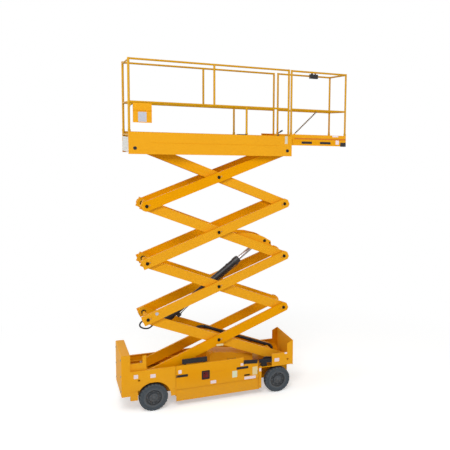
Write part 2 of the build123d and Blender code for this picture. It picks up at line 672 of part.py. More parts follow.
def platform_floor():
    """Floor plate on two side channels."""
    x0 = DECK_LEFT + SILL_T
    floor = block(x0, DECK_RIGHT, -SKIN_IN, SKIN_IN, at_top(FLOOR_TOP - FLOOR_T), at_top(FLOOR_TOP))
    for side in (-1, 1):
        beam = (side * (SLIDE_OUT + 16), side * SKIN_IN)
        floor += block(x0, DECK_RIGHT, min(beam), max(beam), at_top(0), at_top(FLOOR_TOP))
        hang = (side * (OUTER_SKIN + PIN_HEAD_T + 6), side * (OUTER_SKIN + PIN_HEAD_T + 20))
        under = at_top(FLOOR_TOP - FLOOR_T)
        plate = profile([(FIXED_X - 60, under), (FIXED_X + 60, under), (FIXED_X + 36, at_top(-44)),
                         (FIXED_X - 36, at_top(-44))], min(hang), max(hang))
        floor += plate - rod_y(FIXED_X, TOP_PIN_Z, PIN_R + PIN_FIT, -HALF, HALF)
    low = at_top(FLOOR_TOP - FLOOR_T - RIB_DEPTH)
    pitch = (DECK_RIGHT - x0) / RIB_COUNT
    for number in range(RIB_COUNT):
        x = x0 + (number + 0.5) * pitch
        floor += block(x, x + RIB_T, -RIB_HALF, RIB_HALF, low, at_top(FLOOR_TOP - FLOOR_T))
    return floor


def entry_sill():
    """Cross plate under the gate, closing the entry end of the platform."""
    x1 = DECK_LEFT + SILL_T
    between = RAIL_Y - RAIL_R - 0.5
    sill = block(DECK_LEFT, x1, -SKIN_IN, SKIN_IN, at_top(SILL_Z[0]), at_top(FLOOR_TOP))
    return sill + block(DECK_LEFT, x1, -between, between, at_top(FLOOR_TOP), at_top(SILL_Z[1]))


def platform_skirts():
    """Side skins whose upper edges are the toe boards."""
    z0 = at_top(-SKIRT_DROP)
    z1 = at_top(SKIRT_RISE)
    skin = block(DECK_LEFT, DECK_RIGHT, SKIN_IN, HALF, z0, z1)
    for x in (DECK_LEFT + SKIRT_HOLE_INSET, FIXED_X):
        skin -= rod_y(x, TOP_PIN_Z, SKIRT_HOLE_R, SKIN_IN - 1, HALF + 1)
    return both_sides(skin)


def rail_bar(x0, x1, y, z, radius):
    """A rail tube along X."""
    return Pos((x0 + x1) / 2, y, z) * Rot(0, 90, 0) * Cylinder(radius, x1 - x0)


def platform_rails():
    """Guard rails on both sides: a lower and an upper frame, with the gate's hinge brackets."""
    foot = at_top(FLOOR_TOP)
    cap = at_top(RAIL_TOP + RAIL_R)
    middle = at_top(MID_RAIL)
    x0 = ENTRY_POST_X
    rail = rail_bar(x0, POST_RIGHT, RAIL_Y, at_top(RAIL_TOP), RAIL_R - BAR_EASE)
    rail += rail_bar(x0, POST_RIGHT, RAIL_Y, middle, RAIL_R - BAR_EASE)
    for x, z0, z1 in ((x0, foot, cap), (POST_RIGHT, foot, cap), (POST_MIDDLE, middle, at_top(RAIL_TOP)),
                      (POST_LOWER, foot, middle)):
        rail += rod_z(x, RAIL_Y, RAIL_R, z0, z1)
    sides = both_sides(rail)
    far = sides[0]
    for z0, z1, pin in ((GATE_BOTTOM - 12, GATE_BOTTOM - 2, 20), (GATE_TOP + 2, GATE_TOP + 12, -20)):
        far += block(x0 - 12, x0 + 12, GATE_HALF - 12, RAIL_Y, at_top(z0), at_top(z1))
        low, high = (z0, z1 + pin) if pin > 0 else (z0 + pin, z1)
        far += rod_z(x0, GATE_HALF, GATE_PIN_R, at_top(low), at_top(high))
    return [far, sides[1]]


def gate():
    """Swinging entry gate: two posts and three bars."""
    frame = None
    for y in (-GATE_HALF, GATE_HALF):
        post = rod_z(ENTRY_POST_X, y, GATE_R, at_top(GATE_BOTTOM), at_top(GATE_TOP))
        frame = post if frame is None else frame + post
    for z in (GATE_BOTTOM + GATE_R, MID_RAIL, GATE_TOP - GATE_R):
        frame += Pos(ENTRY_POST_X, 0, at_top(z)) * Rot(90, 0, 0) * Cylinder(GATE_R - BAR_EASE, 2 * GATE_HALF)
    for z0, z1 in ((GATE_BOTTOM - 1, GATE_BOTTOM + 22), (GATE_TOP - 22, GATE_TOP + 1)):
        frame -= rod_z(ENTRY_POST_X, GATE_HALF, GATE_PIN_R + PIN_FIT, at_top(z0), at_top(z1))
    return frame


def platform_box():
    """Box hung under the near middle rail at the entry end."""
    z1 = at_top(MID_RAIL - RAIL_R + BAR_EASE)
    x0 = DECK_LEFT + BOX_INSET
    y0 = -HALF + SKIRT_T + 1
    return block(x0, x0 + BOX_W, y0, y0 + BOX_DEPTH, z1 - BOX_DROP, z1)


# --- extension --------------------------------------------------------------------------------------

def extension_deck():
    """Roll-out deck: floor between two side channels that run on the main floor."""
    x0 = DECK_RIGHT - EXT_OVERLAP
    x1 = EXT_END
    deck = block(x0, x1, -EXT_OUT, EXT_OUT, at_top(EXT_Z), at_top(EXT_Z + EXT_FLOOR_T))
    for side in (-1, 1):
        skin = (side * (EXT_OUT - EXT_SKIRT_T), side * EXT_OUT)
        deck += block(x0, x1, min(skin), max(skin), at_top(EXT_Z), at_top(EXT_Z + EXT_SKIRT_H))
        flange = (side * (EXT_OUT - EXT_FLANGE), side * EXT_OUT)
        deck += block(x0, x1, min(flange), max(flange), at_top(EXT_Z + EXT_SKIRT_H - 8),
                      at_top(EXT_Z + EXT_SKIRT_H))
        runner = (side * (EXT_OUT - EXT_RUNNER[1]), side * EXT_OUT)
        deck += block(x0, x0 + EXT_RUNNER[0], min(runner), max(runner),
                      at_top(FLOOR_TOP + EXT_RUNNER_FIT), at_top(EXT_Z))
    deck += block(x1 - EXT_SKIRT_T, x1, -EXT_OUT, EXT_OUT, at_top(EXT_Z), at_top(EXT_Z + EXT_SKIRT_H))
    for start, stop in EXT_SLOTS:
        deck -= block(DECK_RIGHT + start, DECK_RIGHT + stop, -HALF, HALF, at_top(EXT_SLOT_Z[0]),
                      at_top(EXT_SLOT_Z[1]))
    return deck


def extension_rails():
    """Guard rails round the roll-out deck on three sides, with a thin stay on the near side."""
    foot = at_top(EXT_Z + EXT_SKIRT_H)
    x1 = EXT_END - EXT_RAIL_R
    rails = None
    for side in (-1, 1):
        y = side * EXT_RAIL_Y
        for x in (EXT_POST_X, x1):
            post = rod_z(x, y, EXT_RAIL_R, foot, at_top(RAIL_TOP + EXT_RAIL_R))
            rails = post if rails is None else rails + post
        for z in (MID_RAIL, RAIL_TOP):
            rails += rail_bar(EXT_POST_X, x1, y, at_top(z), EXT_RAIL_R - BAR_EASE)
    for z in (MID_RAIL, RAIL_TOP):
        rails += Pos(x1, 0, at_top(z)) * Rot(90, 0, 0) * Cylinder(EXT_RAIL_R - BAR_EASE, 2 * EXT_RAIL_Y)
    run = STAY_X[1] - STAY_X[0]
    start = foot + 6
    climb = at_top(MID_RAIL) - start
    stay = Rot(0, 90, 0) * Cylinder(STAY_R, hypot(run, climb))
    rails += Pos(sum(STAY_X) / 2, -STAY_Y, start + climb / 2) * Rot(0, -degrees(atan2(climb, run)), 0) * stay
    length, width, height = STAY_FOOT
    rails += block(STAY_X[0] - length / 2, STAY_X[0] + length / 2, -STAY_Y - width / 2, -STAY_Y + width / 2,
                   foot, foot + height)
    return rails


# --- write every node ---------------------------------------------------------------------------------

os.makedirs("parts", exist_ok=True)

save("chassis_frame", chassis_frame())
save("scissor_mounts", *scissor_mounts())
save("lower_tracks", *lower_tracks())
save("entry_end_plate", entry_end())
save("rear_wheel_covers", *rear_cover())
save("front_cover", front_end_plate(), *front_skin())
save("hinge_strips", *hinge_strip())
save("pump_cover", pump_cover())
save("batteries", *batteries())
save("front_axle", *front_axle())
save("rear_axle", *rear_axle())

CONTROL_HOLE = block(CONTROL_X[0] - CONTROL_FIT, CONTROL_X[1] + CONTROL_FIT, -HALF - 1, -SKIN_IN + 1,
                     CONTROL_Z[0] - CONTROL_FIT, CONTROL_Z[1] + CONTROL_FIT)
FAR_COVER, NEAR_COVER = side_cover()
save("far_side_cover", FAR_COVER)
save("near_side_cover", NEAR_COVER - CONTROL_HOLE)
save("ground_controls", ground_controls())
FAR_GUARD, NEAR_GUARD = pothole_guard()
save("far_pothole_guard", FAR_GUARD)
save("near_pothole_guard", NEAR_GUARD)

CORNERS = (("near_front", AXLE_X, -TYRE_Y), ("far_front", AXLE_X, TYRE_Y),
           ("near_rear", -AXLE_X, -TYRE_Y), ("far_rear", -AXLE_X, TYRE_Y))
for corner, corner_x, corner_y in CORNERS:
    save(f"{corner}_tyre", tyre(corner_x, corner_y))
    save(f"{corner}_rim", rim(corner_x, corner_y))
save("near_knuckle", knuckle(-1))
save("far_knuckle", knuckle(1))

for number in range(STAGES):
    save(f"stage_{number + 1}_inner_frame", inner_frame(number))
    save(f"stage_{number + 1}_outer_frame", outer_frame(number))
save("lower_slides", *slides(FREE_X, BASE_PIN_Z))
save("upper_slides", *slides(FREE_X, TOP_PIN_Z))
save("cylinder_barrel", barrel())
save("cylinder_rod", rod())

save("platform_floor", platform_floor())
save("platform_tracks", *track(TOP_PIN_Z, at_top(FLOOR_TOP - FLOOR_T)))
save("entry_sill", entry_sill())
save("platform_skirts", *platform_skirts())
save("platform_rails", *platform_rails())
save("platform_box", platform_box())
save("entry_gate", gate())
save("extension_deck", extension_deck())
save("extension_rails", extension_rails())
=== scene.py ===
# %% [markdown]
# # Electric scissor lift
# This machine is a narrow self-propelled access platform. Four crossed pairs of box arms
# lift a railed platform, and a second deck rolls out of it at the steered end.
# The CAD model gives every moving piece its place. Here each piece gets its finish, and the
# small things that a maker bolts on afterwards are modelled: tread, keepers, labels, hoses.

# %% Load the frame
import bmesh
import bpy
import json
from math import atan2, cos, hypot, pi, radians, sin
from mathutils import Matrix, Vector

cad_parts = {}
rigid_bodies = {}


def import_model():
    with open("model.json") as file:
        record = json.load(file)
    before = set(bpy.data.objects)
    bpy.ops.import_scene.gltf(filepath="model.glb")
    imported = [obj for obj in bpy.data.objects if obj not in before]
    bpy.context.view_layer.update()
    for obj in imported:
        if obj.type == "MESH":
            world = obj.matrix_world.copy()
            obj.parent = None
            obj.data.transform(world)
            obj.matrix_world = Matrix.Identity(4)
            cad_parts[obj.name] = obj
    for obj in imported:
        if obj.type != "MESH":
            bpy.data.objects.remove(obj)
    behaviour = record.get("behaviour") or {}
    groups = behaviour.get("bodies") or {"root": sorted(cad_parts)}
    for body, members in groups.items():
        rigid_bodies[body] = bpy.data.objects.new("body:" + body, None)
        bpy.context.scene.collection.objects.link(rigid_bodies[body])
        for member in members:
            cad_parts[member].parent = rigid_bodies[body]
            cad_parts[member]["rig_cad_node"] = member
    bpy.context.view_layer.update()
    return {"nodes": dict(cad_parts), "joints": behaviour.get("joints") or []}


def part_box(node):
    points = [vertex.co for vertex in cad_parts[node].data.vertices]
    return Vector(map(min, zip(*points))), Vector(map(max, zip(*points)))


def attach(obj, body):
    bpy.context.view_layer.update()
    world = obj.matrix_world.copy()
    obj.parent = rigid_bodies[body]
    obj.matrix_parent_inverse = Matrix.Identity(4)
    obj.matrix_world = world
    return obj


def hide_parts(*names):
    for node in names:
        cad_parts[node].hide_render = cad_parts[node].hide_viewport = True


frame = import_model()
nodes = frame["nodes"]
bpy.ops.object.select_all(action="DESELECT")


def rounded(point):
    """A point's coordinates to the millimetre, for printing."""
    return [round(v, 3) for v in point]


# %% [markdown]
# ## Where things are
# The main places below are read from the CAD nodes, so the dressing follows the model. The
# wheels give the wheelbase, and the joints of the scissor arms give their pins.

# %% Wheels
wheel_names = ("near_front", "far_front", "near_rear", "far_rear")
wheel_centre = {}
for wheel in wheel_names:
    low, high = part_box(f"{wheel}_tyre")
    wheel_centre[wheel] = (low + high) / 2
    tyre_radius = (high.z - low.z) / 2
    tyre_width = high.y - low.y
wheelbase_middle = (wheel_centre["near_front"].x + wheel_centre["near_rear"].x) / 2
print("tyre radius", round(tyre_radius, 3), "width", round(tyre_width, 3))
print("middle of the wheelbase at x =", round(wheelbase_middle, 3))

# %% [markdown]
# ## The camera
# The machine is seen from in front of its near side and a little towards the entry end, from
# about the height of the raised platform, so that the chassis shows its deck and the platform
# shows its underside. The picture plane is not square to the middle of the view: the film sits
# off to one side behind the lens, as on a view camera with a shifted back. A lens shift would
# do, but it also pushes the machine out of any other view that the camera is turned to. So the
# lean is given to the camera's stand instead, as a shear between the stand and the camera.

# %% Camera
SENSOR = 36.0
FOCAL_LENGTH = 53.92
BACK_SHIFT = (-0.4049, -0.0296)
STAND_FROM_MIDDLE = Vector((-2.28, -10.44, 4.10))
yaw, pitch, roll = radians(28.53), radians(-6.33), radians(1.81)
off_axis = Vector((*(shift * SENSOR / FOCAL_LENGTH for shift in BACK_SHIFT), -1.0))
camera_data = bpy.data.cameras.new("camera")
camera_data.sensor_width = SENSOR
camera_data.lens = FOCAL_LENGTH * off_axis.length
camera_data.clip_end = 100.0
camera = bpy.data.objects.new("camera", camera_data)
stand = bpy.data.objects.new("camera_stand", None)
for item in (stand, camera):
    bpy.context.scene.collection.objects.link(item)
bpy.context.scene.camera = camera
aim = (Matrix.Rotation(-yaw, 4, "Z") @ Matrix.Rotation(pi / 2 + pitch, 4, "X")
       @ Matrix.Rotation(roll, 4, "Z"))
lean = Matrix.Identity(4)
lean.col[2] = (*(-off_axis).normalized(), 0.0)
stand_spot = STAND_FROM_MIDDLE + Vector((wheelbase_middle, 0, 0))
camera.parent = stand
camera.matrix_parent_inverse = Matrix.Translation(stand_spot) @ aim @ lean
print("camera leans", round(off_axis.x, 3), "across and", round(off_axis.y, 3), "up")

# %% [markdown]
# ## Light
# Plain soft studio light: one large lamp in front and above, two weaker ones at the sides,
# and an even pale world. The colours then render about as they are written. What looks at
# the world directly, or mirrors it, sees a plain white wall.

# %% Helpers for nodes and colours
def add_node(tree, kind, settings=None, links=None):
    """Add one shader node, set its values, and feed its inputs from other nodes.

    A link names the node that it comes from, whose first output it takes, or a node and an output.
    """
    node = tree.nodes.new("ShaderNode" + kind)
    for key, value in (settings or {}).items():
        if isinstance(key, str) and hasattr(node, key):
            setattr(node, key, value)
        else:
            node.inputs[key].default_value = value
    for key, link in (links or {}).items():
        source, output = link if isinstance(link, tuple) else (link, 0)
        tree.links.new(source.outputs[output], node.inputs[key])
    return node


def linear(code):
    """An sRGB hex colour as the linear colour that a shader takes."""
    channels = [int(code[i:i + 2], 16) / 255 for i in (1, 3, 5)]
    return [c / 12.92 if c <= 0.04045 else ((c + 0.055) / 1.055) ** 2.4 for c in channels] + [1.0]


# %% An even world
SOFT_LIGHT = 0.42
scene = bpy.context.scene
scene.view_settings.view_transform = "Standard"
world = bpy.data.worlds.new("studio")
scene.world = world
world.use_nodes = True
sky = world.node_tree
sky.nodes.clear()
rays = add_node(sky, "LightPath")
soft_light = add_node(sky, "Background", {"Color": linear("#FFFFFF"), "Strength": SOFT_LIGHT})
white_wall = add_node(sky, "Background", {"Color": linear("#FFFFFF"), "Strength": 1.0})
seen = add_node(sky, "Math", {"operation": "MAXIMUM"},
                {0: (rays, "Is Camera Ray"), 1: (rays, "Is Glossy Ray")})
wall = add_node(sky, "MixShader", links={"Fac": seen, 1: soft_light, 2: white_wall})
add_node(sky, "OutputWorld", links={"Surface": wall})
print("world with", len(sky.nodes), "nodes")


# %% Three lamps
MACHINE_MIDDLE = Vector((0, 0, 2.4))


def lamp(name, place, size, watts):
    """A square area lamp at a place, facing the middle of the machine."""
    bpy.ops.object.light_add(type="AREA", location=place)
    light = bpy.context.object
    light.name = name
    light.data.size = size
    light.data.energy = watts
    light.rotation_euler = (MACHINE_MIDDLE - Vector(place)).to_track_quat("-Z", "Y").to_euler()


lamp("key_lamp", (-3.0, -8.0, 8.5), 4.0, 480.0)
lamp("side_lamp", (-9.0, 1.0, 5.0), 5.0, 230.0)
lamp("fill_lamp", (7.0, -6.0, 4.0), 5.0, 120.0)
print(len(bpy.data.lights), "lamps")

# %% [markdown]
# ## The floor
# A plain pale floor takes the machine's soft shadow. Seen by the camera it runs from its own
# colour near the machine to plain white some metres away, so that no horizon shows. A map of
# the distance from the machine's middle does that, and the light itself sees a plain matt floor.
# From below the floor is clear, so that the underside of the machine can be looked at.

# %% Floor
bpy.ops.mesh.primitive_plane_add(size=60.0, location=(0, 0, 0))
floor = bpy.context.object
floor.name = "floor"
floor_finish = bpy.data.materials.new("studio_floor")
floor_finish.use_nodes = True
tree = floor_finish.node_tree
tree.nodes.clear()
away = add_node(tree, "VectorMath", {"operation": "LENGTH"},
                {"Vector": (add_node(tree, "TexCoord"), "Object")})
far = add_node(tree, "MapRange", {"interpolation_type": "SMOOTHSTEP", "From Min": 1.5, "From Max": 6.0},
               {"Value": (away, "Value")})
matt = add_node(tree, "BsdfDiffuse", {"Color": linear("#F2F2F0")})
glow = add_node(tree, "Emission", {"Color": linear("#FFFFFF"), "Strength": SOFT_LIGHT})
white = add_node(tree, "Emission", {"Color": linear("#FFFFFF"), "Strength": 1.0})
both = add_node(tree, "AddShader", links={0: matt, 1: glow})
fade = add_node(tree, "MixShader", links={"Fac": far, 1: both, 2: white})
pick = add_node(tree, "MixShader", links={"Fac": (add_node(tree, "LightPath"), "Is Camera Ray"),
                                          1: matt, 2: fade})
clear = add_node(tree, "BsdfTransparent")
one_sided = add_node(tree, "MixShader", links={"Fac": (add_node(tree, "NewGeometry"), "Backfacing"),
                                               1: pick, 2: clear})
add_node(tree, "OutputMaterial", links={"Surface": one_sided})
floor.data.materials.append(floor_finish)
print("floor with", len(tree.nodes), "nodes in its finish")

# %% [markdown]
# ## Powder-coated steel
# Nearly everything here is welded mild steel under a polyester powder coat. The powder melts
# into one even film about a tenth of a millimetre thick. Three things give it away to the
# eye: a fine ripple called orange peel, edges where the film has thinned and been rubbed
# paler, and road dust that settles low down. Sun and weather have taken most of its gloss,
# so the reflection is kept low. A pattern's scale is one over its real size in metres.
# Orange peel is really 2 to 4 mm wide; it is drawn at 8 mm so that it shows. The decks are
# the same paint with hard grit strewn into it, which shows only on faces that look up.

# %% Helpers for finishes
MILLIMETRE = 0.001
ROAD_DUST = "#8C7B62"


def per(size):
    """A noise pattern's scale for features of a given size in millimetres."""
    return 1.0 / (size * MILLIMETRE)


def new_finish(name):
    """An empty material: the material, its node tree, and the place of each point in the frame."""
    finish = bpy.data.materials.new(name)
    finish.use_nodes = True
    finish.node_tree.nodes.clear()
    return finish, finish.node_tree, (add_node(finish.node_tree, "TexCoord"), "Object")


def worn_edges(tree, sharpest, most):
    """How far each convex edge is rubbed, up to a most: Pointiness finds the edges."""
    shape = add_node(tree, "NewGeometry")
    return add_node(tree, "MapRange", {"From Min": 0.52, "From Max": sharpest, "To Max": most},
                    {"Value": (shape, "Pointiness")})


def blotches(tree, place, size, detail, colour, other):
    """Soft blotches, of a size in millimetres, between two colours: their pattern and their tone."""
    pattern = add_node(tree, "TexNoise", {"Scale": per(size), "Detail": detail}, {"Vector": place})
    tone = add_node(tree, "MixRGB", {"Color1": linear(colour), "Color2": linear(other)}, {"Fac": pattern})
    return pattern, tone


def close_finish(finish, look, colour, relief, strength, depth, dull=None):
    """Shade a finish with a colour, a relief of a depth in millimetres, and duller patches."""
    tree = finish.node_tree
    bump = add_node(tree, "Bump", {"Strength": strength, "Distance": depth * MILLIMETRE}, {"Height": relief})
    links = {"Base Color": colour, "Normal": bump}
    if dull:
        pattern, least, most = dull
        links["Roughness"] = add_node(tree, "MapRange", {"To Min": least, "To Max": most}, {"Value": pattern})
    shader = add_node(tree, "BsdfPrincipled", look, links)
    add_node(tree, "OutputMaterial", links={"Surface": shader})
    print("finish", finish.name, "with", len(tree.nodes), "nodes")
    return finish


# %% The powder coat
def powder_coat(name, colour, shade, worn, roughness, gloss):
    """Powder-coated sheet steel: mottled colour, rubbed edges, low dust and orange peel."""
    finish, tree, place = new_finish(name)
    # Film thickness varies over a hand's width, which shifts the tone slightly.
    _, tone = blotches(tree, place, 350, 3.0, colour, shade)
    # The edges are rubbed, and a 15 mm noise breaks the rubbed line up.
    rubbed = worn_edges(tree, 0.60, 0.55)
    chips = add_node(tree, "TexNoise", {"Scale": per(15), "Detail": 4.0}, {"Vector": place})
    edge = add_node(tree, "Math", {"operation": "MULTIPLY"}, {0: rubbed, 1: chips})
    rim = add_node(tree, "MixRGB", {"Color2": linear(worn)}, {"Fac": edge, "Color1": tone})
    # Dust lies on the lowest half metre, thickest at the bottom.
    height = add_node(tree, "SeparateXYZ", links={"Vector": place})
    low = add_node(tree, "MapRange", {"From Min": 0.55, "From Max": 0.05, "To Max": 0.22},
                   {"Value": (height, "Z")})
    speck = add_node(tree, "TexNoise", {"Scale": per(40), "Detail": 6.0}, {"Vector": place})
    dust = add_node(tree, "Math", {"operation": "MULTIPLY"}, {0: low, 1: speck})
    dusty = add_node(tree, "MixRGB", {"Color2": linear(ROAD_DUST)}, {"Fac": dust, "Color1": rim})
    peel = add_node(tree, "TexNoise", {"Scale": per(8), "Detail": 1.0}, {"Vector": place})
    # Handled and dusty paint is duller, so roughness follows the speckle.
    return close_finish(finish, {"IOR": 1.5, "Specular IOR Level": gloss}, dusty, peel, 0.12, 0.5,
                        dull=(speck, roughness - 0.05, roughness + 0.10))


# %% Deck plate with grit
def gritted_deck(name, colour, grit, dark):
    """Deck plate: painted steel whose upward faces carry a dark anti-slip grit."""
    finish = powder_coat(name, colour, colour, colour, 0.45, 0.05)
    tree = finish.node_tree
    shader = next(node for node in tree.nodes if node.type == "BSDF_PRINCIPLED")
    paint = shader.inputs["Base Color"].links[0].from_node
    # Grains of 2 mm aluminium oxide are drawn at 6 mm so that they show.
    grains = add_node(tree, "TexVoronoi", {"Scale": per(6)},
                      {"Vector": (add_node(tree, "TexCoord"), "Object")})
    tone = add_node(tree, "MixRGB", {"Color1": linear(dark), "Color2": linear(grit)}, {"Fac": grains})
    facing = add_node(tree, "SeparateXYZ", links={"Vector": (add_node(tree, "NewGeometry"), "Normal")})
    upward = add_node(tree, "Math", {"operation": "GREATER_THAN", 1: 0.9}, {0: (facing, "Z")})
    face = add_node(tree, "MixRGB", links={"Fac": upward, "Color1": paint, "Color2": tone})
    tree.links.new(face.outputs["Color"], shader.inputs["Base Color"])
    return finish


# %% The five paints
orange_coat = powder_coat("orange_powder_coat", "#EFA400", "#E89900", "#F3BB40", 0.38, 0.05)
# The rails' coat is a darker, greener gold than the body's paint, as painted shade for thin round tubes.
shade_darkened_rail_paint = powder_coat("gold_rail_paint_darkened_as_shade", "#D9A008", "#C98F04", "#E4B84A", 0.36, 0.15)
slate_coat = powder_coat("slate_wheel_paint", "#4C535B", "#434A51", "#6A7077", 0.5, 0.3)
black_coat = powder_coat("black_chassis_paint", "#1D1E22", "#15161A", "#4A4B4E", 0.4, 0.5)
grey_coat = powder_coat("grey_sill_paint", "#D9D8D2", "#CFCEC8", "#E6E5E0", 0.5, 0.4)

# %% [markdown]
# ## Tyre rubber
# The tyres are solid rubber filled with carbon black, moulded in a hot steel mould. Rubber
# has no gloss to speak of; what shows is grey dust rubbed into it and a fine moulded grain.
# The grain is really half a millimetre and is drawn at 3 mm so that it can be seen at all.

# %% Rubber
def solid_rubber(name, colour, dusted, scuff):
    """Filled tyre rubber: dull, dusty in patches, scuffed on its edges, with a moulded grain."""
    finish, tree, place = new_finish(name)
    _, tone = blotches(tree, place, 60, 6.0, colour, dusted)
    rubbed = add_node(tree, "MixRGB", {"Color2": linear(scuff)},
                      {"Fac": worn_edges(tree, 0.62, 0.5), "Color1": tone})
    grain = add_node(tree, "TexNoise", {"Scale": per(3)}, {"Vector": place})
    look = {"Roughness": 0.8, "IOR": 1.52, "Specular IOR Level": 0.35}
    return close_finish(finish, look, rubbed, grain, 0.3, 0.6)


tyre_rubber = solid_rubber("slate_tyre_rubber", "#3C434A", "#4B535A", "#6E7479")

# %% [markdown]
# ## Plated and polished metal
# The lift cylinder's rod is steel under hard chrome, ground round until it shines. Pins are
# plain oiled steel and small bolts are zinc plated. All three are turned or ground, and the
# marks of that are a fraction of a millimetre wide; they are drawn as 2 mm flecks.

# %% Metals
def bare_metal(name, colour, tarnish, roughness):
    """Plated or ground steel with fine tool marks and a film of oil and dust."""
    finish, tree, place = new_finish(name)
    film, tone = blotches(tree, place, 25, 4.0, colour, tarnish)
    marks = add_node(tree, "TexNoise", {"Scale": per(2), "Detail": 2.0}, {"Vector": place})
    return close_finish(finish, {"Metallic": 1.0}, tone, marks, 0.08, 0.3,
                        dull=(film, roughness * 0.8, roughness * 1.3))


zinc_plate = bare_metal("zinc_plated_steel", "#A9A79C", "#8F8C80", 0.38)
dark_steel = bare_metal("oiled_dark_steel", "#34332B", "#24231D", 0.45)
chrome_rod = bare_metal("hard_chromed_steel", "#C6C7CA", "#B4B5B8", 0.34)

# %% [markdown]
# ## Moulded plastic and printed film
# Hose guards are black ABS, and the stop button is dyed red polyamide. The black bar on the
# deck's edge is the same plastic, put there as painted shade. A mould leaves them with a
# leathery grain 1 to 2 mm wide and a soft sheen. Labels are printed vinyl film, a little glossy
# and yellowed here and there. They are blank on this machine. A film and a darker amber strip,
# painted as the shadow under a fold, take up the grain of what is under them, so one recipe
# serves them all.

# %% Plastics
def moulded_plastic(name, colour, shade, roughness):
    """Moulded plastic with a leathery grain and faint handling marks."""
    finish, tree, place = new_finish(name)
    marks, tone = blotches(tree, place, 30, 5.0, colour, shade)
    grain = add_node(tree, "TexVoronoi", {"Scale": per(2)}, {"Vector": place})
    return close_finish(finish, {"IOR": 1.49, "Specular IOR Level": 0.4}, tone, grain, 0.18, 0.3,
                        dull=(marks, roughness - 0.06, roughness + 0.08))


black_plastic = moulded_plastic("black_moulded_plastic", "#16151A", "#232126", 0.5)
red_plastic = moulded_plastic("dark_red_plastic", "#7A0E0C", "#5E0A09", 0.42)
nylon = moulded_plastic("natural_nylon", "#D9D3C2", "#CFC8B5", 0.5)
white_film = moulded_plastic("white_label_film", "#F4E6EA", "#EAD9DD", 0.35)
cream_film = moulded_plastic("cream_label_film", "#EBD9A2", "#E2CD92", 0.35)
green_film = moulded_plastic("pale_green_label_film", "#E2E8C8", "#D8DFBA", 0.35)
# A darker amber that paints the shadow under a fold on the sliding deck's side plates.
fold_shadow_paint = moulded_plastic("amber_fold_shadow_paint", "#D5780C", "#C96E08", 0.45)
window_film = moulded_plastic("frosted_window_sheet", "#C6C8D2", "#B9BBC8", 0.3)

# %% Give the CAD nodes their finishes
deck_grit = gritted_deck("gritted_deck_paint", "#EFA400", "#5A5347", "#39352E")
chassis_grit = gritted_deck("chassis_deck_paint", "#EFA400", "#C98A08", "#B37A06")
special = {"cylinder_rod": chrome_rod, "batteries": black_plastic, "ground_controls": red_plastic,
           "entry_sill": grey_coat, "platform_floor": deck_grit, "chassis_frame": chassis_grit}
for finish, names in (
        (black_coat, ("cylinder_barrel", "front_axle", "rear_axle", "near_knuckle", "far_knuckle")),
        (shade_darkened_rail_paint, ("platform_rails", "extension_rails", "entry_gate")),
        (nylon, ("lower_slides", "upper_slides")),
        (tyre_rubber, [f"{wheel}_tyre" for wheel in wheel_names]),
        (slate_coat, [f"{wheel}_rim" for wheel in wheel_names])):
    special.update(dict.fromkeys(names, finish))


def set_finish(piece, finish):
    """Put one finish on the whole of a piece."""
    piece.data.materials.clear()
    piece.data.materials.append(finish)


for name, node in nodes.items():
    set_finish(node, special.get(name, orange_coat))
print(len(nodes), "CAD nodes finished")

# %% [markdown]
# ## Helpers for modelling by hand
# Each added piece starts as a primitive at its real size and place and is then shaped in edit
# mode. A few short helpers keep that readable. Some select one piece, or faces and edges by
# where they are, and run edit-mode steps on them. Some start a block, a bar or a turned shape.
# The others set pieces down, copy and join them, and dress them as one finished piece.

# %% Editing helpers
def only(piece):
    """Make one piece the only selected and the active object."""
    bpy.ops.object.select_all(action="DESELECT")
    piece.select_set(True)
    bpy.context.view_layer.objects.active = piece


def edit(piece, kind, chosen, *steps):
    """Select faces or edges by a test on their middle and direction, and run steps on them."""
    only(piece)
    bpy.ops.object.mode_set(mode="EDIT")
    bpy.ops.mesh.select_mode(type=kind)
    bpy.ops.mesh.select_all(action="DESELECT")
    shape = bmesh.from_edit_mesh(piece.data)
    for face in shape.faces if kind == "FACE" else []:
        face.select_set(bool(chosen(face.calc_center_median(), face.normal)))
    for edge in shape.edges if kind == "EDGE" else []:
        start, end = (corner.co for corner in edge.verts)
        edge.select_set(bool(chosen((start + end) / 2, (end - start).normalized())))
    shape.select_flush_mode()
    bmesh.update_edit_mesh(piece.data)
    for step in steps:
        step()
    bpy.ops.object.mode_set(mode="OBJECT")
    return piece


def faces(piece, chosen, *steps):
    """Run edit-mode steps on chosen faces."""
    return edit(piece, "FACE", chosen, *steps)


def everything(middle, direction):
    """The test that picks every face or edge."""
    return True


def along(axis, side=0):
    """A test for faces or edges that point along an axis: one way only, or with side 0 both ways."""
    return lambda middle, direction: direction[axis] * side > 0.9 if side else abs(direction[axis]) > 0.9


def bevel(offset, segments=2):
    """An edit step that eases what is selected."""
    return lambda: bpy.ops.mesh.bevel(offset=offset, offset_type="OFFSET", segments=segments)


def inset(thickness, depth=0.0):
    """An edit step that insets the selected faces, and sinks or raises them."""
    return lambda: bpy.ops.mesh.inset(thickness=thickness, depth=depth)


def pull(x=0.0, y=0.0, z=0.0):
    """An edit step that extrudes the selected faces by a distance."""
    return lambda: bpy.ops.mesh.extrude_region_move(TRANSFORM_OT_translate={"value": (x, y, z)})


# %% Placing helpers
def settle(piece):
    """Move a piece's place, turn and size into its mesh."""
    only(piece)
    bpy.ops.object.transform_apply(location=True, rotation=True, scale=True)
    return piece


def put(piece, spot, turn=0.0, tilt=0.0):
    """Set a piece down at a spot, tilted about Y and then turned about Z."""
    piece.matrix_world = (Matrix.Translation(spot) @ Matrix.Rotation(turn, 4, "Z")
                          @ Matrix.Rotation(tilt, 4, "Y"))
    return settle(piece)


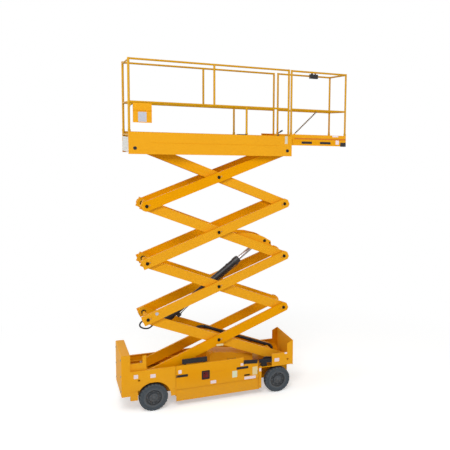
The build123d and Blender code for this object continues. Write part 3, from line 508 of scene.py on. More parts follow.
def lay(piece, spot, way, axis="Z"):
    """Turn a piece so that its own axis points one way, and set it down at a spot."""
    facing = Vector(way).to_track_quat(axis, "X" if axis == "Y" else "Y")
    piece.matrix_world = Matrix.Translation(spot) @ facing.to_matrix().to_4x4()
    return settle(piece)


def twin(piece):
    """A copy of a piece, with a mesh of its own."""
    copy = piece.copy()
    copy.data = piece.data.copy()
    scene.collection.objects.link(copy)
    return copy


def copies(model, places, way=put):
    """Put or lay a copy of a model at each place, and take the model away."""
    made = [way(twin(model), *place) for place in places]
    bpy.data.objects.remove(model)
    return made


def both_sides(spots, y):
    """Places at (x, z) spots on the near face, and turned half round on the far face."""
    return [((x, sign * y, z), 0 if sign < 0 else pi) for x, z in spots for sign in (-1, 1)]


def join(*pieces):
    """Join pieces into one mesh."""
    bpy.ops.object.select_all(action="DESELECT")
    for piece in pieces:
        piece.select_set(True)
    bpy.context.view_layer.objects.active = pieces[0]
    if len(pieces) > 1:
        bpy.ops.object.join()
    return settle(bpy.context.object)


def smoothed(piece, degrees):
    """Shade a piece smooth, apart from edges sharper than an angle."""
    only(piece)
    bpy.ops.object.shade_smooth_by_angle(angle=radians(degrees))
    return piece


# %% Starting helpers
def block(low, high, chosen, radius, segments=2):
    """A block between two corners with chosen edges rounded."""
    low, high = Vector(low), Vector(high)
    bpy.ops.object.select_all(action="DESELECT")
    bpy.ops.mesh.primitive_cube_add(size=1.0, location=(low + high) / 2)
    bpy.context.object.scale = high - low
    return edit(settle(bpy.context.object), "EDGE", chosen, bevel(radius, segments))


def on_side(face, span_x, span_z, out, back, chosen, radius, segments=2):
    """A block on a side face at y = face, that stands out of it and reaches back into it."""
    sign = 1 if face > 0 else -1
    near, far = sorted((face + sign * out, face - sign * back))
    return block((span_x[0], near, span_z[0]), (span_x[1], far, span_z[1]), chosen, radius, segments)


def bar(axis, centre, radius, length, sides, *steps, end=0):
    """A round or many-sided bar along an axis, with edit steps on one end face, or on both."""
    turn = {"X": (0, pi / 2, 0), "Y": (pi / 2, 0, 0), "Z": (0, 0, 0)}[axis]
    bpy.ops.object.select_all(action="DESELECT")
    bpy.ops.mesh.primitive_cylinder_add(vertices=sides, radius=radius, depth=length, location=centre,
                                        rotation=turn)
    return faces(settle(bpy.context.object), along("XYZ".index(axis), end), *steps)


def dress(name, body, finish, *pieces, slot=None):
    """Join pieces as one, with its name, its finish and the body it rides on. The slot is not used."""
    piece = join(*pieces)
    piece.name = piece.data.name = name
    set_finish(piece, finish)
    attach(piece, body)
    low = [min(corner.co[i] for corner in piece.data.vertices) for i in range(3)]
    high = [max(corner.co[i] for corner in piece.data.vertices) for i in range(3)]
    print(f"{name}: {len(piece.data.polygons)} faces, rides on {body},", rounded(low), rounded(high))
    return piece


# %% [markdown]
# ## Tyres
# A lift of this kind stands on filled rubber tyres with a square shoulder and a shallow lug
# tread. A tyre is a turned shape, so its outline is drawn once as a chain of points and spun
# about the axle. The lugs are then the tread's own faces: of every three steps round the
# wheel one sinks by the groove's depth, which keeps the tread part of one closed skin.

# %% The turning helper
def turned(outline, steps):
    """Spin an outline of (radius, along Y) points about the Y axis into a closed skin."""
    bpy.ops.object.select_all(action="DESELECT")
    bpy.ops.mesh.primitive_plane_add(size=0.01, location=(0, 0, 0))
    piece = bpy.context.object
    bpy.ops.object.mode_set(mode="EDIT")
    bpy.ops.mesh.select_mode(type="VERT")
    bpy.ops.mesh.select_all(action="SELECT")
    bpy.ops.mesh.merge(type="CENTER")
    spot = Vector((outline[0][0], outline[0][1], 0.0))
    bpy.ops.transform.translate(value=spot)
    for radius, across in outline[1:]:
        bpy.ops.mesh.extrude_vertices_move(
            TRANSFORM_OT_translate={"value": (radius - spot.x, across - spot.y, 0.0)})
        spot = Vector((radius, across, 0.0))
    bpy.ops.mesh.select_all(action="SELECT")
    bpy.ops.mesh.spin(steps=steps, angle=2 * pi, center=(0, 0, 0), axis=(0, 1, 0))
    bpy.ops.mesh.select_all(action="SELECT")
    bpy.ops.mesh.remove_doubles(threshold=0.0002)
    bpy.ops.mesh.normals_make_consistent(inside=False)
    bpy.ops.object.mode_set(mode="OBJECT")
    return settle(piece)


# %% Model one tyre and copy it to the four wheels
TREAD_STEPS = 72
GROOVE_DEPTH = 0.006
MIDDLE_RIB = 0.012
rim_low, rim_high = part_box("near_front_rim")
seat = (rim_high.z - rim_low.z) / 2
half = tyre_width / 2
side_wall = [(seat, half - 0.004), (seat + 0.012, half), (seat + 0.022, half), (seat + 0.026, half - 0.003),
             (tyre_radius - 0.026, half - 0.003), (tyre_radius - 0.020, half),
             (tyre_radius - 0.012, half - 0.002), (tyre_radius - 0.003, half - 0.011),
             (tyre_radius, half - 0.020), (tyre_radius, MIDDLE_RIB)]
outline = side_wall + [(radius, -across) for radius, across in reversed(side_wall)]
tyre = turned([*outline, outline[0]], TREAD_STEPS)


def in_groove(middle, normal):
    """Tread faces of one step in three, staggered left and right of the middle rib."""
    step = int((atan2(middle.z, middle.x) % (2 * pi)) / (2 * pi) * TREAD_STEPS)
    stagger = 0 if middle.y > 0 else 1
    return (hypot(middle.x, middle.z) > tyre_radius - 0.009 and abs(middle.y) > MIDDLE_RIB
            and (step + stagger) % 3 == 0)


faces(tyre, in_groove, lambda: bpy.ops.mesh.extrude_region_shrink_fatten(
    TRANSFORM_OT_shrink_fatten={"value": -GROOVE_DEPTH}))
smoothed(tyre, 32)
for wheel, piece in zip(wheel_names, copies(tyre, [(wheel_centre[wheel],) for wheel in wheel_names])):
    dress(f"{wheel}_treaded_tyre", f"{wheel}_wheel", tyre_rubber, piece)
    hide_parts(f"{wheel}_tyre")

# %% [markdown]
# ## Hub caps and wheel nuts
# Each wheel centre is a dished steel disc held by eight nuts, with a pressed cap over the
# axle's end. The nut is a six-sided bar with an eased outer face, and the cap is turned. Both
# are painted over with the wheel.

# %% Wheel nuts and caps
NUT_CIRCLE, BOLT_CIRCLE = 0.088, 0.049
DISH_DEPTH, HUB_DEPTH = 0.034, 0.008
rim_face = rim_low.y - wheel_centre["near_front"].y
dish, hub = rim_face + DISH_DEPTH, rim_face + HUB_DEPTH


def round_the_hub(count, radius, y):
    """Spots evenly round the axle, with the turn of each."""
    return [((radius * cos(2 * pi * k / count), y, radius * sin(2 * pi * k / count)), 2 * pi * k / count)
            for k in range(count)]


nut = join(bar("Y", (0, 0, 0), 0.0135, 0.016, 6, inset(0.0025, 0.002)),
           bar("Y", (0, 0.007, 0), 0.017, 0.003, 20, inset(0.0015, 0.0008), end=-1))
nuts = copies(nut, [(spot, 0, -angle) for spot, angle in round_the_hub(8, NUT_CIRCLE, dish - 0.008)])
cap = turned([(0.0005, -0.016), (0.018, -0.015), (0.030, -0.009), (0.033, -0.002), (0.037, 0.0),
              (0.037, 0.004), (0.0005, 0.004)], 32)
bolt = bar("Y", (0, 0, 0), 0.0065, 0.009, 6, inset(0.0012, 0.001))
bolts = copies(bolt, [(spot,) for spot, _ in round_the_hub(6, BOLT_CIRCLE, hub - 0.004)])
model = smoothed(join(*nuts, put(cap, (0, hub - 0.001, 0)), *bolts), 32)
outward = {"near": 0.0, "far": pi}
places = [(wheel_centre[wheel], outward[wheel.split("_")[0]]) for wheel in wheel_names]
for wheel, piece in zip(wheel_names, copies(model, places)):
    dress(f"{wheel}_hub_cap_and_nuts", f"{wheel}_wheel", slate_coat, piece)

# %% [markdown]
# ## Pin heads
# The arms turn on greased steel pins. Each pin is kept from turning by a small keeper plate
# with a bolt, and its dark end shows in the plate. One keeper is modelled facing the near
# side, then copied to every visible end; a copy for the far side is turned half round.

# %% Pins of the scissor stack
STAGES = 4
pin = {joint["name"]: Vector(joint["pos_m"]) for joint in frame["joints"] if "pos_m" in joint}
base, top = pin["lower_slide_level"], pin["upper_slide_level"]
rise = (top.z - base.z) / STAGES
slope = atan2(rise, pin["lift"].x - base.x)
arm_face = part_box("stage_2_outer_frame")[1].y
head = turned([(0.0005, -0.009), (0.012, -0.009), (0.014, -0.012), (0.022, -0.011), (0.024, -0.008),
               (0.024, 0.001), (0.0005, 0.001)], 24)
plate = block((-0.034, -0.006, -0.020), (0.052, 0.0, 0.020), along(1), 0.014, 3)
edit(plate, "EDGE", lambda middle, way: middle.y < -0.005, bevel(0.001, 1))
bolt = bar("Y", (0.040, -0.009, 0), 0.0075, 0.007, 6, inset(0.0012, 0.0012), end=-1)
for stage in range(1, STAGES + 1):
    cross = pin[f"stage_{stage}_cross"]
    spots = [cross]
    if stage < STAGES:
        spots.append(pin[f"stage_{stage + 1}_end"])
    if stage > 1:
        spots.append(Vector((base.x, 0, base.z + (stage - 1) * rise)))
    places = []
    for spot in spots:
        # A keeper's long end points inwards along its arm.
        inward = 0 if spot.x < cross.x + 0.01 else pi
        places += [((spot.x, -arm_face, spot.z), 0, inward - slope),
                   ((spot.x, arm_face, spot.z), pi, slope + pi - inward)]
    for part, title, finish in ((head, "pin_ends", dark_steel), (plate, "pin_keepers", orange_coat),
                                (bolt, "keeper_bolts", zinc_plate)):
        dress(f"stage_{stage}_{title}", f"stage_{stage}_outer", finish, *copies(twin(part), places))
for part in (head, plate, bolt):
    bpy.data.objects.remove(part)

# %% [markdown]
# ## Covers and the deck's edge
# Along the side a lift carries a few black moulded parts: a guard over the hoses where the
# hinged cover ends, and a finger cup behind each slot that opens the cover. A black bar shaped
# like cable trunking lies on the deck's edge as painted shade: it fills the dark band of shade
# between the cover's top and the arms. They are blocks with eased edges whose faces are inset
# and pulled, which gives the lips and hollows that catch light.

# %% Places on the machine
def site(x, y, z):
    """A point given in millimetres from the middle of the wheelbase, at floor level."""
    return Vector((wheelbase_middle + x / 1000, y / 1000, z / 1000))


def at(x):
    """A place along the machine, in millimetres from the middle of the wheelbase."""
    return site(x, 0, 0).x


# %% A black bar on the near edge of the deck, as painted shade under the arms
# The black bar and its legs paint the band of shade between the cover's top and the arms.
trunk = block(site(-525, -388, 642), site(-165, -352, 714), along(0), 0.008, 3)
faces(trunk, along(1, -1), inset(0.010, -0.004))
legs = [block(site(x, -372, 440), site(x + 30, -364, 646), along(2), 0.003, 1) for x in (-500, -220)]
dress("deck_edge_shade_bar", "chassis", black_plastic, trunk, *legs)

# %% Guard over the hoses, one half on the cover and one on the chassis
cover_low, cover_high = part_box("near_side_cover")
guard = block((0, -0.012, -0.030), (0.216, 0.004, 0.030), along(0), 0.007)
faces(guard, along(1, -1), inset(0.009, -0.004))
rib = block((0.014, -0.0125, -0.004), (0.202, -0.004, 0.004), along(0), 0.002)
screw = bar("Y", (0, -0.012, 0.018), 0.006, 0.004, 12, inset(0.002, -0.001), end=-1)
guard = join(guard, *copies(rib, [((0, 0, z),) for z in (-0.014, 0.004)]),
             *copies(screw, [((x, 0, 0),) for x in (0.030, 0.186)]))
fall = atan2(0.034, 0.439)
start = Vector((cover_high.x - 0.238, cover_low.y, 0.564))
stop = start + Vector((0.248 * cos(fall), 0.012, -0.248 * sin(fall)))
for piece, title, body in zip(copies(guard, [(start, 0, fall), (stop, 0, fall)]),
                              ("cover_hose_guard", "chassis_hose_guard"), ("near_cover", "chassis")):
    dress(title, body, black_plastic, piece)

# %% Folded lip on the lowered part of the cover's edge
lip = block((cover_high.x - 0.224, cover_low.y + 0.001, 0.490),
            (cover_high.x - 0.008, cover_low.y + 0.006, 0.545), along(0), 0.0015, 1)
faces(lip, along(2, 1), inset(0.0012), pull(z=0.002))
dress("cover_edge_lip", "near_cover", orange_coat, lip)

# %% Finger cups behind the cover slots
COVER_SLOTS, COVER_SLOT_BAND = ((-612, -455), (281, 451)), (0.462, 0.487)


def slot_cup(x0, x1, band, face, lip, depth):
    """A black moulded cup behind a slot, its thin lip standing on the panel round the opening."""
    sign = 1 if face > 0 else -1
    cup = on_side(face, (x0 - lip, x1 + lip), (band[0] - lip, band[1] + lip), 0.002, 0.006,
                  along(1), lip * 0.8, 3)
    return faces(cup, along(1, sign), inset(lip), pull(y=-sign * depth))


sides = (("near", -1), ("far", 1))
for side, sign in sides:
    cups = [slot_cup(at(start), at(stop), COVER_SLOT_BAND, sign * abs(cover_low.y), 0.006, 0.005)
            for start, stop in COVER_SLOTS]
    dress(f"{side}_finger_cups", f"{side}_cover", black_plastic, *cups)

# %% [markdown]
# ## Ground controls
# The small panel on the near cover works the lift from below. Its frame is a moulded lip
# that stands a little proud; on it sit a mushroom stop button, a key switch and a toggle.

# %% Frame, red face, stop button, key switch and toggle
low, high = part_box("ground_controls")
panel = low.y
frame_lip = on_side(panel, (low.x - 0.004, high.x + 0.004), (low.z + 0.010, high.z - 0.002),
                    0.004, 0.002, along(1), 0.008, 3)
faces(frame_lip, along(1, -1), inset(0.016), pull(y=0.0035))
toggle = bar("Y", (high.x - 0.036, panel - 0.007, high.z - 0.042), 0.006, 0.010, 20,
             inset(0.002), pull(y=-0.008), end=-1)
edit(toggle, "EDGE", lambda middle, way: middle.y < panel - 0.019, bevel(0.0015, 2))
dress("ground_control_frame", "near_cover", black_plastic, frame_lip, toggle)
plate = on_side(panel, (low.x + 0.016, high.x - 0.016), (low.z + 0.030, high.z - 0.022),
                0.003, 0.001, along(1), 0.004)
faces(plate, along(1, -1), inset(0.003, -0.0008))
button = smoothed(turned([(0.0005, -0.022), (0.010, -0.0215), (0.015, -0.019), (0.017, -0.014),
                          (0.015, -0.010), (0.009, -0.009), (0.009, 0.0), (0.0005, 0.0)], 28), 35)
button = put(button, ((low.x + high.x) / 2, panel - 0.002, low.z + 0.058))
dress("control_face_and_stop_button", "near_cover", red_plastic, plate, button)
key = turned([(0.0005, -0.004), (0.006, -0.004), (0.008, -0.006), (0.0095, -0.005), (0.0105, -0.001),
              (0.0105, 0.0), (0.0005, 0.0)], 24)
dress("key_switch", "near_cover", dark_steel, put(key, (low.x + 0.036, panel - 0.002, high.z - 0.042)),
      slot="bright_rod")

# %% [markdown]
# ## Valve block and hoses
# Hoses from the pump pass a drilled valve block on the deck's edge and go behind the front
# side plate. Here they are short lines fixed at both ends, so they are made as fixed pipes:
# a smooth curve is given a round section and turned into a mesh, with a crimped collar
# where the line ends in its fitting.

# %% The pipe helper
def pipe(points, radius):
    """A round line along a smooth curve through its control points, as a mesh."""
    line = bpy.data.curves.new("line", "CURVE")
    line.dimensions = "3D"
    line.bevel_depth = radius
    line.bevel_resolution = 4
    line.resolution_u = 8
    line.use_fill_caps = True
    run = line.splines.new("NURBS")
    run.points.add(len(points) - 1)
    for knot, point in zip(run.points, points):
        knot.co = (*point, 1.0)
    run.order_u = 3
    run.use_endpoint_u = True
    piece = bpy.data.objects.new("line", line)
    scene.collection.objects.link(piece)
    only(piece)
    bpy.ops.object.convert(target="MESH")
    return settle(bpy.context.object)


def collar(spot, way, radius, length):
    """A crimped collar on a line, its two rims eased."""
    return lay(bar("Z", (0, 0, 0), radius, length, 16, inset(radius * 0.2, radius * 0.15)), spot, way)


# %% Block and three lines beside the front plate
parts = [block(site(672, -372, 440), site(762, -312, 512), everything, 0.004)]
for y, z in ((-360, 500), (-345, 530), (-326, 505)):
    parts.append(pipe([site(702, y, z - 20), site(702, y, z + 28), site(745, y, z + 52),
                       site(800, y, z + 40), site(868, y + 4, z + 34)], 0.010))
    parts.append(collar(site(702, y, z + 2), (0, 0, 1), 0.0145, 0.030))
dress("valve_block_and_lines", "chassis", black_plastic, *parts)

# %% Lines clipped inside the far lowest arm
ARM_LINES = ((0.030, 0.190), (0.056, 0.188), (0.044, 0.170))
CLIP_SHARES = (0.08, 0.20, 0.32, 0.44, 0.56)
lift_pin = pin["lift"]
arm_length = hypot(lift_pin.x - base.x, rise)


def beside_arm(distance, off, y):
    """A point beside the lowest inner arm, from its fixed pin and square to its edge."""
    return Vector((lift_pin.x - distance * cos(slope) + off * sin(slope), y,
                   lift_pin.z + distance * sin(slope) + off * cos(slope)))


parts = []
for off, y in ARM_LINES:
    points = [(0.055, off - 0.030, y - 0.050), (0.070, off, y), (0.150, off, y)]
    points += [(arm_length * share, off, y) for share in (0.2, 0.35, 0.5, 0.56)]
    points += [(arm_length * 0.60, off - 0.015, y - 0.010), (arm_length * 0.62, off - 0.045, y - 0.030)]
    parts.append(pipe([beside_arm(*point) for point in points], 0.010))
clip = block((-0.012, 0.154, 0.020), (0.012, 0.2045, 0.068), along(0), 0.006)
parts += copies(clip, [(beside_arm(arm_length * share, 0, 0), 0, slope) for share in CLIP_SHARES])
dress("lowest_arm_lines", "stage_1_inner", black_plastic, *parts)

# %% Return line at the lower left joint
bend = pipe([beside_arm(arm_length + past, off, y) for past, off, y in (
    (0.020, -0.030, -0.222), (0.070, -0.055, -0.232), (0.075, -0.130, -0.240), (0.0, -0.150, -0.240),
    (-0.090, -0.118, -0.232), (-0.100, -0.066, -0.222))], 0.011)
dress("joint_return_line", "stage_1_inner", black_plastic, bend,
      collar(beside_arm(arm_length + 0.022, -0.030, -0.222), (-1, 0, -0.6), 0.0155, 0.026),
      collar(beside_arm(arm_length - 0.099, -0.074, -0.222), (0, 0, 1), 0.0155, 0.022))

# %% [markdown]
# ## Blank labels
# Rating plates and notices are thin printed films on such a machine. They stay blank here:
# each is a thin sheet with rounded corners, white, cream or pale green, stuck to its panel.

# %% Labels
def label(x, z, width, height, face, corner=0.007):
    """A thin film with rounded corners on a side face, its middle and size in millimetres."""
    low, high = site(x - width / 2, 0, z - height / 2), site(x + width / 2, 0, z + height / 2)
    return on_side(face, (low.x, high.x), (low.z, high.z), 0.0012, 0.0005, along(1), corner, 3)


side_face = cover_low.y
for title, body, film, face, spots in (
        ("chassis_labels", "chassis", white_film, side_face,
         [(-1171, 552, 58, 58), (-940, 533, 74, 54), (912, 530, 76, 54), (1058, 621, 40, 30)]),
        ("near_cover_white_labels", "near_cover", white_film, side_face,
         [(-563, 540, 46, 56), (-77, 316, 84, 48), (485, 303, 180, 44), (360, 528, 46, 40)]),
        ("near_cover_cream_label", "near_cover", cream_film, side_face, [(561, 403, 78, 128)]),
        ("near_cover_green_label", "near_cover", green_film, side_face, [(246, 391, 76, 104)]),
        ("strip_label", "chassis", white_film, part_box("hinge_strips")[0].y, [(645, 405, 34, 54)]),
        ("lowest_arm_label", "stage_1_outer", cream_film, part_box("stage_1_outer_frame")[0].y,
         [(35, 862, 104, 32)])):
    dress(title, body, film, *(label(*spot, face) for spot in spots))

# %% [markdown]
# ## Platform fittings
# The platform carries a document box with a pale window, black rings in the pin holes of its
# skirts, closed at the back as painted shade inside the holes, a lock lever for the sliding
# deck, and a pale nylon pad where that deck runs out.

# %% Window of the document box
box_low, box_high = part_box("platform_box")
pane = on_side(box_low.y, (box_low.x + 0.064, box_low.x + 0.174), (box_low.z + 0.012, box_low.z + 0.148),
               0.003, 0.001, along(1), 0.006, 3)
faces(pane, along(1, -1), inset(0.005, -0.0015))
dress("document_box_window", "platform", window_film, pane)
lid = on_side(box_low.y, (box_low.x - 0.002, box_high.x + 0.002), (box_low.z + 0.158, box_low.z + 0.172),
              0.004, 0.001, along(0), 0.003)
hinge = bar("X", ((box_low.x + box_high.x) / 2, box_low.y - 0.004, box_low.z + 0.165), 0.004,
            box_high.x - box_low.x - 0.02, 16, inset(0.001, 0.001))
dress("document_box_seam", "platform", orange_coat, lid, hinge)

# %% Black rings in the skirt holes, closed at the back as painted shade
skirt_low, skirt_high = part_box("platform_skirts")
# The ring's closed black back paints the shade seen inside each hole.
ring = smoothed(turned([(0.0245, 0.001), (0.0245, -0.002), (0.022, -0.003), (0.017, -0.002), (0.017, 0.008),
                        (0.0005, 0.008), (0.0005, 0.010), (0.0235, 0.010)], 28), 35)
holes = [(skirt_low.x + 0.084, top.z), (pin["platform_level"].x, top.z)]
dress("skirt_hole_shade_plugs", "platform", black_plastic, *copies(ring, both_sides(holes, skirt_high.y)))

# %% Lock lever, rubber strip and wear pad
lever = pipe([site(893, -398, 4040), site(893, -398, 4085), site(905, -398, 4100), site(950, -398, 4128)],
             0.007)
grip = lay(bar("Z", (0, 0, 0), 0.012, 0.045, 16, inset(0.003, 0.003)), site(944, -398, 4125), (1, 0, 0.6))
foot = block(site(872, -404, 4028), site(914, -386, 4060), everything, 0.003)
strip = block(site(268, -406, 4052), site(417, -392, 4064), along(0), 0.003)
dress("lock_lever_and_strip", "platform", black_plastic, lever, grip, foot, strip)
pad = block(site(1004, -409, 3934), site(1045, -404, 4052), along(1), 0.005)
faces(pad, along(1, -1), inset(0.004, 0.0015))
dress("sliding_deck_wear_pad", "platform", nylon, pad)

# %% End feet of the sliding deck
deck_low, deck_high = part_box("extension_deck")
feet = []
for side, sign in sides:
    foot = on_side(sign * deck_high.y, (deck_high.x - 0.094, deck_high.x - 0.002),
                   (deck_low.z, deck_low.z + 0.064), 0.006, 0.001, along(1), 0.006)
    feet.append(faces(foot, along(1, sign), inset(0.008, -0.002)))
dress("sliding_deck_end_feet", "extension", black_plastic, *feet)

# %% Labels, and a dark strip painted as the shadow under a fold, on the sliding deck's side plates
FOLD_SHADOW_BAND = (4.010, 4.030)
films = [label(*spot, -deck_high.y, 0.006) for spot in ((1886, 3973, 56, 66), (1850, 4069, 104, 24))]
dress("sliding_deck_labels", "extension", white_film, *films)
# A thin raised strip in darker amber paints the shadow under the fold along each side plate.
beads = []
for side, sign in sides:
    bead = on_side(sign * deck_high.y, (skirt_high.x + 0.060, deck_high.x - 0.004), FOLD_SHADOW_BAND,
                   0.0025, 0.0, along(0), 0.0014)
    beads.append(faces(bead, along(0), inset(0.0008, 0.0008)))
dress("sliding_deck_fold_shadow_strips", "extension", fold_shadow_paint, *beads)

# %% [markdown]
# ## Shade cups in the slots, and the stay's spring
# The sliding deck's side plates have two lightening slots, each backed by a black cup that
# paints the shade inside the slot. A thin diagonal stay runs up to its mid rail inside a coiled
# spring sleeve. A spring this fine reads as a row of dark rings, so one rounded ring is turned
# and repeated.

# %% Black cups in the sliding deck's slots, as painted shade
DECK_SLOTS, DECK_SLOT_BAND = ((0.181, 0.336), (0.486, 0.649)), (3.950, 3.970)
start_x = skirt_high.x
# The black cups behind the slots paint the shade that shows through them.
for side, sign in sides:
    cups = [slot_cup(start_x + start, start_x + stop, DECK_SLOT_BAND, sign * deck_high.y, 0.008, 0.004)
            for start, stop in DECK_SLOTS]
    dress(f"{side}_deck_slot_shade_cups", "extension", black_plastic, *cups)

# %% Spring sleeve on the stay
COILS = 18
rail_low, rail_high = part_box("extension_rails")
stay_foot = Vector((start_x + 0.062, rail_low.y + 0.027, rail_low.z + 0.006))
stay_head = Vector((start_x + 0.442, stay_foot.y, top.z + 0.638))
upwards = (stay_head - stay_foot).normalized()
coil_step = ((stay_head - stay_foot).length - 0.07) / (COILS - 1)
coil = smoothed(turned([(0.0052, -0.008), (0.010, -0.007), (0.0125, -0.003), (0.0125, 0.003), (0.010, 0.007),
                        (0.0052, 0.008), (0.0052, -0.008)], 14), 50)
coils = copies(coil, [(stay_foot + upwards * (0.030 + step * coil_step), upwards, "Y")
                      for step in range(COILS)], way=lay)
dress("stay_spring", "extension", black_coat, *coils)

# %% [markdown]
# ## Rail fittings
# Each guard-rail post drops into a short socket and is held by a bolt through it. A sleeve
# with eased rims and a hexagon bolt stands for both, modelled once and copied to each post.
# The gate has a spring bolt that shoots into a catch on the post beside it.

# %% Sockets at the feet of the posts
sleeve = bar("Z", (0, 0, 0.016), 0.0195, 0.032, 28, inset(0.0025, 0.0015))
bolt = bar("Y", (0, -0.021, 0.016), 0.0065, 0.006, 6, inset(0.0015, 0.001), end=-1)
socket = smoothed(join(sleeve, bolt), 32)
extension_y = deck_high.y - 0.015
platform_posts = [(x, skirt_high.z)
                  for x in (skirt_low.x + 0.015, skirt_high.x - 0.050, skirt_high.x - 0.697)]
moving_posts = [(start_x + 0.006, rail_low.z), (rail_high.x - 0.015, rail_low.z)]
second = twin(socket)
dress("platform_post_sockets", "platform", shade_darkened_rail_paint,
      *copies(socket, both_sides(platform_posts, skirt_high.y - 0.025)))
dress("sliding_deck_post_sockets", "extension", shade_darkened_rail_paint,
      *copies(second, both_sides(moving_posts, extension_y)))

# %% Gate latch and its catch
gate_low, gate_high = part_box("entry_gate")
gate_x = (gate_low.x + gate_high.x) / 2
latch_z = top.z + 0.60
case = block((gate_x + 0.011, -0.350, latch_z - 0.030), (gate_x + 0.024, -0.318, latch_z + 0.030),
             everything, 0.003)
spring_bolt = bar("Y", (gate_x + 0.020, -0.333, latch_z), 0.006, 0.056, 16, inset(0.0012, 0.0012))
knob = bar("X", (gate_x + 0.034, -0.330, latch_z), 0.008, 0.022, 16, inset(0.002, 0.002))
dress("gate_latch", "gate", black_plastic, case, spring_bolt, knob)
catch = block((gate_x + 0.008, -0.400, latch_z - 0.016), (gate_x + 0.030, -0.366, latch_z + 0.016),
              everything, 0.003)
faces(catch, along(1, 1), inset(0.005), pull(y=-0.006))
dress("gate_catch", "platform", shade_darkened_rail_paint, catch)

# %% [markdown]
# ## Control box on the guard rail
# The operator drives from a small box clipped over the sliding deck's far top rail: a moulded
# case, a stop button and a short joystick in a rubber bellows. The bellows is a turned shape.

# %% Case, joystick and stop button
box = Vector((start_x + 0.604, extension_y, rail_high.z - 0.015))
case = block(box + Vector((-0.065, -0.070, -0.040)), box + Vector((0.065, 0.012, 0.030)), along(0), 0.012, 3)
edit(case, "EDGE", along(2), bevel(0.006, 2))
faces(case, along(2, 1), inset(0.006, -0.002))
bellows = smoothed(turned([(0.0005, -0.052), (0.005, -0.050), (0.006, -0.030), (0.012, -0.026),
                           (0.010, -0.022), (0.016, -0.018), (0.014, -0.013), (0.020, -0.008),
                           (0.021, 0.0), (0.0005, 0.0)], 24), 35)
bellows = lay(bellows, box + Vector((-0.028, -0.028, 0.028)), (0, 0, -1), "Y")
dress("rail_control_box", "extension", black_plastic, case, bellows)
button = smoothed(turned([(0.0005, -0.020), (0.009, -0.0195), (0.014, -0.017), (0.016, -0.012),
                          (0.014, -0.008), (0.008, -0.007), (0.008, 0.0), (0.0005, 0.0)], 24), 35)
button = lay(button, box + Vector((0.030, -0.028, 0.028)), (0, 0, -1), "Y")
dress("rail_stop_button", "extension", red_plastic, button)

# %% [markdown]
# ## Lift cylinder fittings
# The single-acting lift cylinder has a gland nut where its rod leaves the barrel, an oil port
# with a short steel line clipped along the barrel, and a valve block at its foot. They are set
# out from the barrel's axis, which runs from its foot pin to the pin of the rod's eye.

# %% Gland nut, port and line
EYE_RADIUS = 0.046
foot_pin = pin["cylinder_tilt"]
eye_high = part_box("cylinder_rod")[1]
eye_pin = Vector((eye_high.x - EYE_RADIUS, 0, eye_high.z - EYE_RADIUS))
axis = (eye_pin - foot_pin).normalized()
upward = Vector((-axis.z, 0, axis.x))


def on_barrel(distance, off):
    """A point by the barrel: along its axis, and square to it."""
    return foot_pin + axis * distance + upward * off


gland = turned([(0.0315, 0.0), (0.0315, 0.020), (0.036, 0.024), (0.050, 0.020), (0.057, 0.014),
                (0.057, -0.004), (0.033, -0.004), (0.0315, 0.0)], 10)
gland = lay(gland, on_barrel(1.402, 0.0), axis, "Y")
band = turned([(0.0522, -0.016), (0.056, -0.015), (0.057, -0.011), (0.057, 0.011), (0.056, 0.015),
               (0.0522, 0.016), (0.0522, -0.016)], 40)
bands = copies(band, [(on_barrel(distance, 0.0), axis, "Y") for distance in (0.46, 0.86, 1.22)], way=lay)
valve = block((-0.030, -0.026, -0.020), (0.030, 0.026, 0.024), everything, 0.004)
valve = lay(valve, on_barrel(0.20, -0.072), axis, "X")
line = pipe([on_barrel(distance, off) for distance, off in (
    (0.225, -0.074), (0.28, -0.070), (0.34, -0.062), (0.80, -0.062), (1.25, -0.062), (1.33, -0.070),
    (1.36, -0.064), (1.365, -0.050))], 0.006)
ends = [collar(on_barrel(0.240, -0.074), axis, 0.010, 0.022),
        collar(on_barrel(1.364, -0.060), upward, 0.010, 0.016)]
dress("cylinder_gland_and_line", "cylinder_barrel", black_coat, gland, valve, line, *bands, *ends)

# %% [markdown]
# ## The rod's mount
# The rod's eye turns between two humped plates welded inside the third stage's arms. Their
# upper edge is trimmed close to the eye on the real frame, sloping more steeply than the arm.
# A copy of the frame has its loose triangles merged, the two plates picked by their place
# across the machine, and one bisect through both, which also closes the cut.

# %% Trim the humped plates
PLATE_INNER, PLATE_OUTER = 0.180, 0.194
TRIM_ABOVE_EYE = 0.046
TRIM_SLOPE = radians(32)
trim_way = Vector((sin(TRIM_SLOPE), 0, cos(TRIM_SLOPE)))
trimmed = twin(nodes["stage_3_inner_frame"])
del trimmed["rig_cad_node"]
edit(trimmed, "EDGE", everything, lambda: bpy.ops.mesh.remove_doubles(threshold=0.00002))


def on_mount_plate(middle, normal):
    """Faces that belong to one of the two humped plates."""
    return PLATE_INNER - 0.0005 < abs(middle.y) < PLATE_OUTER + 0.0005 and middle.z > eye_pin.z - 0.25


faces(trimmed, on_mount_plate, lambda: bpy.ops.mesh.bisect(
    plane_co=eye_pin + trim_way * TRIM_ABOVE_EYE, plane_no=trim_way, use_fill=True, clear_outer=True))
dress("trimmed_stage_3_inner_frame", "stage_3_inner", orange_coat, trimmed)
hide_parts("stage_3_inner_frame")
print("rod mount at", rounded(eye_pin))

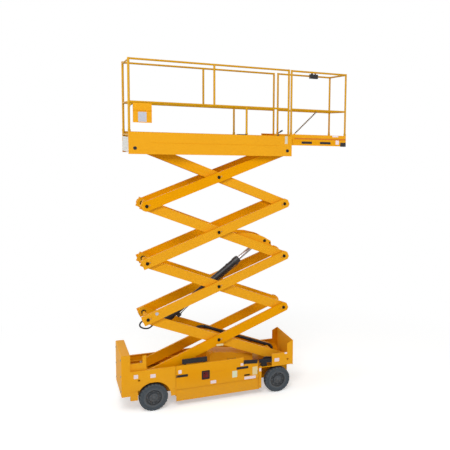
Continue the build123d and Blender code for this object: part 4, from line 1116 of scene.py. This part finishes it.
# %% Pin heads and bolts on the mount, collars on the left joints' shafts, and a plug
INNER_ARM_FACE = 0.200
head = turned([(0.0005, -0.005), (0.016, -0.005), (0.020, -0.004), (0.024, -0.002), (0.024, 0.001),
               (0.0005, 0.001)], 28)
small = turned([(0.0005, -0.004), (0.010, -0.004), (0.013, -0.002), (0.013, 0.001), (0.0005, 0.001)], 20)
mount = beside_arm(0.262, 0.112, 0) + Vector((0, 0, 2 * rise))
dress("rod_mount_pins", "stage_3_inner", dark_steel,
      *copies(head, both_sides([(eye_pin.x, eye_pin.z)], PLATE_OUTER)),
      *copies(small, both_sides([(mount.x, mount.z)], PLATE_OUTER)))
for stage in range(1, STAGES):
    shaft_collar = turned([(0.0254, -0.060), (0.029, -0.060), (0.030, -0.058), (0.030, -0.020),
                           (0.034, -0.018), (0.034, 0.001), (0.0254, 0.001), (0.0254, -0.060)], 28)
    # The collars stand on the arms' inner faces and point inwards, so the two sides change places.
    dress(f"stage_{stage}_shaft_collars", f"stage_{stage}_inner", dark_steel,
          *copies(shaft_collar, both_sides([(base.x, base.z + stage * rise)], -INNER_ARM_FACE)))
plug = turned([(0.0005, -0.007), (0.018, -0.007), (0.023, -0.005), (0.025, 0.001), (0.0005, 0.001)], 24)
dress("stage_2_plug", "stage_2_outer", window_film,
      put(plug, (at(-862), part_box("stage_2_outer_frame")[0].y, 1.421)))

# %% [markdown]
# ## Seams and fastenings on the panels
# Flat panels give themselves away by their edges and fixings: a weld line where the deck
# meets its skirt, a pressed rib and a latch on each swing-out cover, hexagon bolts along the
# end plates, and a handle and screws on the pump's cover.

# %% Weld line on the skirts, rib and latch on the covers
WELD_BAND, RIB_BAND, LATCH_BAND = (3.9035, 3.9095), (0.470, 0.480), (0.341, 0.362)
for side, sign in sides:
    bead = on_side(sign * skirt_high.y, (skirt_low.x + 0.30, skirt_high.x - 0.20), WELD_BAND,
                   0.0022, 0.0, along(0), 0.0014)
    faces(bead, along(0), inset(0.0008, 0.001))
    dress(f"{side}_skirt_weld", "platform", orange_coat, bead)
    face = sign * abs(cover_low.y)
    rib = on_side(face, (at(-98), at(79)), RIB_BAND, 0.004, 0.0, along(0), 0.0025)
    latch = on_side(face, (at(392), at(480)), LATCH_BAND, 0.006, 0.0, along(1), 0.006, 3)
    faces(latch, along(1, sign), inset(0.005), pull(y=-sign * 0.003))
    dress(f"{side}_cover_rib", f"{side}_cover", orange_coat, rib)
    dress(f"{side}_cover_latch", f"{side}_cover", dark_steel, latch, slot="bright_rod")

# %% Bolts in the end plates
bolt = join(bar("Z", (0, 0, 0.002), 0.0105, 0.008, 6, inset(0.002, 0.0015), end=1),
            bar("Z", (0, 0, -0.0005), 0.016, 0.003, 20, inset(0.0015, 0.0007), end=1))
entry_x, front_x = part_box("entry_end_plate")[0].x - 0.001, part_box("front_cover")[1].x + 0.001
places = [((entry_x, y, z), (-1, 0, 0)) for y in (-0.34, 0.34) for z in (0.34, 0.56, 0.80)]
places += [((front_x, y, z), (1, 0, 0)) for y in (-0.34, -0.115, 0.115, 0.34) for z in (0.47, 0.76)]
dress("end_plate_bolts", "chassis", zinc_plate, *copies(bolt, places, way=lay))

# %% Pump cover: lifting handle and screws
HANDLE_HEIGHT, SCREW_HEIGHT = 0.56, 0.458
pump_low, pump_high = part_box("pump_cover")
middle_x = (pump_low.x + pump_high.x) / 2
handle = pipe([(middle_x + x, pump_low.y + y, HANDLE_HEIGHT) for x, y in (
    (-0.060, 0.002), (-0.060, -0.022), (-0.040, -0.026), (0.040, -0.026), (0.060, -0.022), (0.060, 0.002))],
              0.005)
dress("pump_cover_handle", "chassis", black_coat, handle)
screw = bar("Y", (0, 0, 0), 0.009, 0.005, 16, inset(0.003, -0.0012), end=-1)
places = both_sides([(x, SCREW_HEIGHT) for x in (pump_low.x + 0.04, middle_x, pump_high.x - 0.04)],
                    pump_high.y)
dress("pump_cover_screws", "chassis", zinc_plate, *copies(screw, places))
